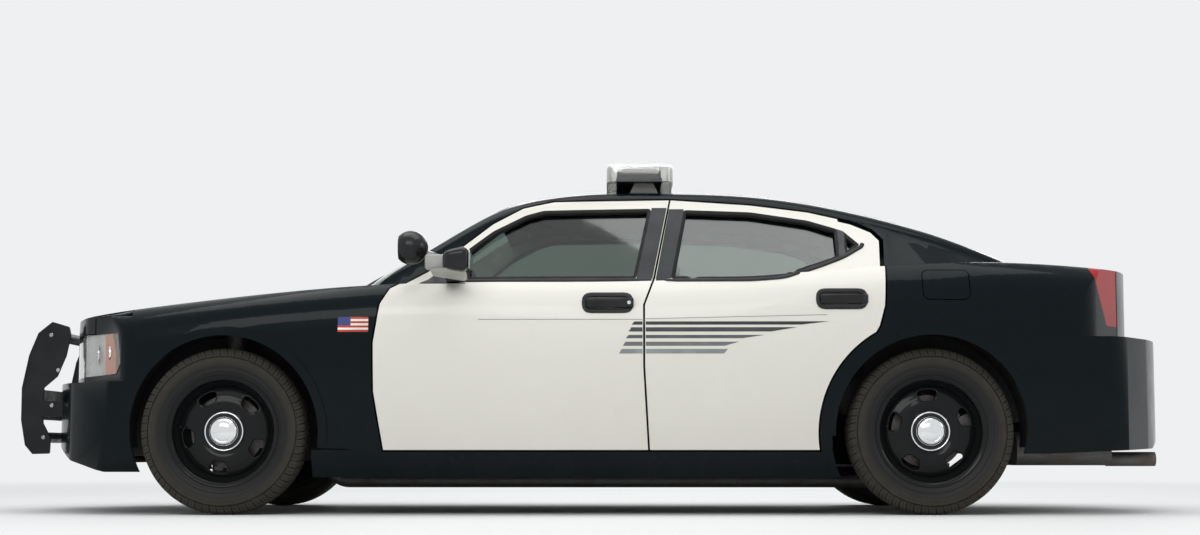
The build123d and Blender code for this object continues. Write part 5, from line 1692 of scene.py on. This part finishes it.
def makeSeats():
    look = seatLook
    first, second = look["rows"]
    shift = Matrix.Translation((0, second - first, 0))
    for kinds, y, other in (
        (("seatCushion", "seatBack", "headRest"), first, shift),
        (("benchCushion",), 0, acrossCar),
        (("benchBack",), 0, acrossCar),
    ):
        lefts = [makePad(f"{kind}Left", kind, seated(kind, y)) for kind in kinds]
        rights = [moved(addObject(f"{kind}Right", pad.data.copy()), other) for kind, pad in zip(kinds, lefts)]
        for pad in (pad for pair in zip(lefts, rights) for pad in pair):
            piece(pad.name, [pad], "body", "dark_fabric")
    frames, posts, stitches = [], [], []
    for y in look["rows"]:
        place = seated("seatBack", y)
        frames += blocks(("pedestal", (1.7, 1.3, y - 0.205, y + 0.205, 0.2135, 0.312), 0.02, "trimPlastic"))
        for side, _ in sides:
            shield, rail = y + side * 0.232, y + side * 0.17
            frames += blocks(
                ("shield", (1.755, 1.3, shield - 0.012, shield + 0.012, 0.325, 0.372), 0.01, "trimPlastic"),
                ("rail", (1.72, 1.28, rail - 0.018, rail + 0.018, 0.2135, 0.238), 0.004, "steel", 1),
            )
            points = [place @ Vector((0, side * look["postY"], lift)) for lift in look["postHeights"]]
            posts.append(tube("post", points, 0.006, "chrome", sides=2))
            for across in look["stitchY"]:
                points = [place @ Vector((0.0575, side * across, 0.06 + 0.02 * n)) for n in range(25)]
                stitches.append(grow(pathMesh(points), pathTree, "palePlastic", **look["stitch"]))
    frames += blocks(
        ("benchBase", (2.63, 2.13, 0.128, 0.585, 0.2135, 0.302), 0.015, "cabinPlastic"),
        ("benchBase", (2.63, 2.13, -0.585, -0.128, 0.2135, 0.302), 0.015, "cabinPlastic"),
        ("benchMiddle", (2.61, 2.15, -0.127, 0.127, 0.4465, 0.466), 0.008, "seatCloth"),
    )
    pieceFor("seats", "seatFrames", frames)
    piece("headRestPosts", posts, "body", "grey_metal")
    piece("seatStitches", stitches, "body", "dark_fabric")


steeringLook = {
    "tilt": 26,
    "centre": (1.105, 0.375, 0.93),
    "rim": (0.178, 0.0148),
    "hub": ((-0.062, -0.08, -0.019), (0.055, 0.08, 0.02), 0.018, "cabinPlastic", 5),
    "spoke": ((0.045, -0.017, -0.008), (0.17, 0.017, 0.006), 0.007, "greyPlastic"),
    "spokeTurns": (60, 180, 300),
    "shroud": ((-0.045, -0.045, -0.205), (0.045, 0.045, -0.025), 0.02, "cabinPlastic", 4),
    "stalk": ((0.01, 0.03, -0.045), (0.02, 0.1, -0.04), (0.03, 0.165, -0.035)),
}


def makeSteering():
    look = steeringLook
    tilt = math.radians(look["tilt"])
    sine, cosine = math.sin(tilt), math.cos(tilt)
    aft, y, z = look["centre"]
    place = Matrix(((sine, 0, -cosine, xAt(aft)), (0, 1, 0, y), (cosine, 0, sine, z), (0, 0, 0, 1)))
    radius, thick = look["rim"]
    turns = [2 * math.pi * n / 72 for n in range(72)]
    ring = [(radius * math.cos(turn), radius * math.sin(turn), 0) for turn in turns]
    parts = [tube("rim", ring, thick, "cabinPlastic", closed=True, smooth=False, sides=6)]
    parts += [roundedBox(name, *look[name]) for name in ("hub", "shroud")]
    parts += [moved(roundedBox("spoke", *look["spoke"]), turned(turn, "Z")) for turn in look["spokeTurns"]]
    for side, _ in sides:
        stalk = [(x, side * y, z) for x, y, z in look["stalk"]]
        parts.append(tube("stalk", stalk, 0.006, "trimPlastic", sides=2))
    pieceFor("steering_wheel", "steeringWheel", [moved(part, place) for part in parts])


dashLook = {
    "dark": (
        ("binnacle", (1.0, 0.8, 0.205, 0.545, 0.955, 1.03), 0.03, "cabinPlastic", 4),
        ("screen", (1.0145, 1.005, -0.095, 0.095, 0.835, 0.925), 0.004, "glossPlastic", 2),
        ("console", (1.72, 0.955, -0.118, 0.118, 0.441, 0.6), 0.02, "cabinPlastic"),
    ),
    "switchBox": ("switchBox", (1.42, 1.1, -0.09, 0.09, 0.59, 0.64), 0.008, "greyPlastic", 2),
    "stack": ("stack", (1.012, 0.9, -0.125, 0.125, 0.69, 0.945), 0.016, "greyPlastic"),
    "dial": ((0, 0.0001), (0, 0.052), (0.004, 0.056), (0.007, 0.056), (0.007, 0.06), (-0.002, 0.06)),
    "dials": (0.3, 0.45),
    "dialPlace": (1.0005, 0.985),  # aft, z
    "dialHeight": 0.45,  # as a share of its width
    "knobRows": (0.735, 0.78),
    "knobs": (6, 0.0332),  # count, step
    "keys": (8, 0.033),
    "slats": (5, 0.0088),
    "vents": (0.645, 0.155, -0.185, -0.61),
    "key": ("key", (1.4, 1.375, -0.07, -0.05, 0.639, 0.645), 0.002, "trimPlastic", 1),
}


def makeDash():
    look = dashLook
    dressNode("dashboard", "dashPanel", ["cabinPlastic"])
    dark, grey = blocks(*look["dark"]), blocks(look["stack"])
    knobCount, knobStep = look["knobs"]
    keyCount, keyStep = look["keys"]
    slatCount, slatStep = look["slats"]
    dialAft, dialZ = look["dialPlace"]
    flatter = Matrix.Scale(look["dialHeight"], 4, (0, 0, 1))
    for y in look["dials"]:
        place = Matrix.Translation((xAt(dialAft), y, dialZ)) @ flatter @ turned(90, "Z")
        dark.append(turnedPart("dial", look["dial"], place, "glossPlastic", 36))
    for z in look["knobRows"]:
        knob = blocks(("knob", (1.018, 1.008, -0.098, -0.068, z, z + 0.025), 0.004, "trimPlastic", 2))[0]
        dark.append(row(knob, "trimPlastic", knobCount, (0, knobStep, 0)))
    box, key = blocks(look["switchBox"], look["key"])
    dark += [box, row(key, "trimPlastic", keyCount, (keyStep, 0, 0))]
    for y in look["vents"]:
        vent, slat = blocks(
            ("vent", (1.004, 0.96, y - 0.055, y + 0.055, 0.905, 0.958), 0.012, "trimPlastic"),
            ("slat", (1.0065, 0.998, y - 0.048, y + 0.048, 0.913, 0.916), 0.0008, "greyPlastic", 1),
        )
        grey += [vent, row(slat, "greyPlastic", slatCount, (0, 0, slatStep))]
    piece("dashDetails", dark, "body", "grey_plastic")
    piece("dashVents", grey, "body", "grey_plastic")


# Where carpet lies: from and to which aft, and above which height.
floorLook = {"cabin": (0.56, 2.79, 0.209), "boot": (2.81, 3.953, 0.424), "bootHalf": 0.553, "walls": 0.22}


def makeFloor():
    def lies(centre, room):
        start, finish, low = floorLook[room]
        return start < frontAxle.x - centre.x < finish and centre.z > low

    def carpeted(centre, normal):
        inCabin = lies(centre, "cabin") and (normal.z > 0.3 or centre.z > floorLook["walls"])
        inBoot = lies(centre, "boot") and abs(centre.y) < floorLook["bootHalf"]
        return 1 if inCabin or inBoot else 0

    dressNode("floor_pan", "floorAndTub", ["bodyUnderside", "carpet"], 30, carpeted)


# Fittings that hang from the roof, with aft and y of where each meets it.
cabinLook = {
    "visors": ((1.3, 0.34), (1.3, -0.34)),
    "visorHalf": Vector((0.075, 0.17, 0.008)),
    "visorDrop": 0.06,
    "visorTurn": -8,
    "mirror": (1.215, 0),
    "stem": ((0, 0.03), (0.02, 0.055), (0.045, 0.075)),  # backwards and down from there
    "lamp": (1.75, 0),
}


def makeCabin():
    look = cabinLook
    roof = skinOf("roof_panel")
    parts = []
    for aft, y in look["visors"]:
        place, _ = meet(roof, aft, y, 0)
        visor = roundedBox("visor", -look["visorHalf"], look["visorHalf"], 0.007, "headliner")
        shift = Matrix.Translation((place.x, y, place.z - look["visorDrop"]))
        parts.append(moved(visor, shift @ turned(look["visorTurn"], "Y")))
    place, _ = meet(roof, *look["mirror"], 0)
    stem = [place + Vector((-back, 0, -drop)) for back, drop in look["stem"]]
    parts.append(tube("mirrorStem", stem, 0.006, "trimPlastic", sides=2))
    lamp, _ = meet(roof, *look["lamp"], 0)
    mirror = place + Vector((-0.055, 0, -0.09))
    for name, centre, low, high, *rest in (
        ("shell", mirror, (-0.012, -0.125, -0.03), (0.012, 0.125, 0.03), 0.011, "trimPlastic", 4),
        ("glass", mirror, (-0.0135, -0.115, -0.024), (-0.0115, 0.115, 0.024), 0.0008, "mirrorGlass", 1),
        ("roofLamp", lamp, (-0.05, -0.07, -0.054), (0.05, 0.07, -0.0375), 0.006, "palePlastic"),
    ):
        parts.append(roundedBox(name, centre + Vector(low), centre + Vector(high), *rest))
    piece("cabinFittings", parts, "body", "grey_plastic")


cardLook = {"front": (1.06, 1.56), "rear": (1.96, 2.36)}  # where the arm rests begin and end


def makeDoorCards():
    for end, side, word, node in doors:
        start, finish = cardLook[end]
        *parts, switch = blocks(
            ("armRest", (finish, start, 0.792, 0.862, 0.64, 0.688), 0.016, "cabinPlastic", 4),
            ("pocket", (finish - 0.03, start - 0.1, 0.822, 0.846, 0.345, 0.44), 0.01, "cabinPlastic"),
            ("pull", (start + 0.19, start + 0.05, 0.798, 0.835, 0.76, 0.79), 0.01, "greyPlastic"),
            ("switch", (start + 0.16, start + 0.13, 0.805, 0.822, 0.687, 0.6925), 0.002, "trimPlastic", 1),
        )
        count = 4 if end == "front" and side > 0 else 1
        parts.append(row(switch, "trimPlastic", count, (0.038, 0, 0)))
        piece(f"doorCard{end.title()}{word}", sided(side, parts), bodyOf[node], "grey_plastic")


engineLook = {
    "radiator": -0.53,  # aft of its rear face
    "blocks": (
        ("engineCover", (0.3, -0.39, -0.205, 0.205, 0.8505, 0.872), 0.01, "trimPlastic"),
        ("battery", (-0.2, -0.46, -0.448, -0.3, 0.6, 0.785), 0.006, "roughPlastic", 2),
        ("airBox", (-0.18, -0.46, 0.296, 0.448, 0.6, 0.8), 0.02, "trimPlastic"),
        ("fuseBox", (0.05, -0.12, 0.3, 0.448, 0.7, 0.79), 0.008, "trimPlastic", 2),
    ),
    "rib": ("coverRib", (0.26, -0.34, -0.15, -0.138, 0.87, 0.877), 0.003, "roughPlastic", 1),
    "ribs": (8, 0.041),  # count, step
    "hoses": (  # radius, finish, points of (aft, y, z)
        (
            0.019, "seal",
            (
                (-0.535, -0.2, 0.69), (-0.5, -0.2, 0.745), (-0.45, -0.16, 0.8), (-0.4, -0.1, 0.83),
                (-0.36, -0.06, 0.835),
            ),
        ),
        (
            0.028, "roughPlastic",
            ((-0.3, 0.33, 0.795), (-0.25, 0.27, 0.842), (-0.18, 0.18, 0.868), (-0.1, 0.1, 0.868)),
        ),
    ),
}


def makeEngineBay():
    isRadiator = lambda centre, normal: 1 if frontAxle.x - centre.x < engineLook["radiator"] else 0
    dressNode("engine_and_radiator", "engineAndRadiator", ["castIron", "radiatorCore"], 30, isRadiator)
    parts = blocks(*engineLook["blocks"])
    count, step = engineLook["ribs"]
    parts.append(row(blocks(engineLook["rib"])[0], "roughPlastic", count, (0, step, 0)))
    for radius, finish, points in engineLook["hoses"]:
        parts.append(tube("hose", [(xAt(aft), y, z) for aft, y, z in points], radius, finish, sides=4))
    piece("engineFittings", parts, "body", "black_plastic")


makeSeats()
makeSteering()
makeDash()
makeFloor()
makeCabin()
makeDoorCards()
makeEngineBay()
print("cabin and engine bay made")


# Every CAD node that stays keeps its shape and gets a material


plainLook = {
    "windshield": "screenGlass", "rear_window": "windowGlass", "glass_front_left": "windowGlass",
    "glass_front_right": "windowGlass", "glass_rear_left": "windowGlass", "glass_rear_right": "windowGlass",
    "wheel_liners": "underCoat", "front_rails": "bodyUnderside", "front_subframe": "castIron",
    "rear_subframe": "castIron", "knuckle_front_left": "castIron", "knuckle_front_right": "castIron",
    "driveline": "steel", "exhaust": "castIron",
}


def dressRest():
    for name, made in frame["nodes"].items():
        if made.hide_render:
            continue
        material = materials[plainLook[name]]
        if not made.material_slots:
            made.data.materials.append(material)
        for slot in made.material_slots:
            slot.link = "OBJECT"
            slot.material = material


dressRest()
print("plain nodes dressed")
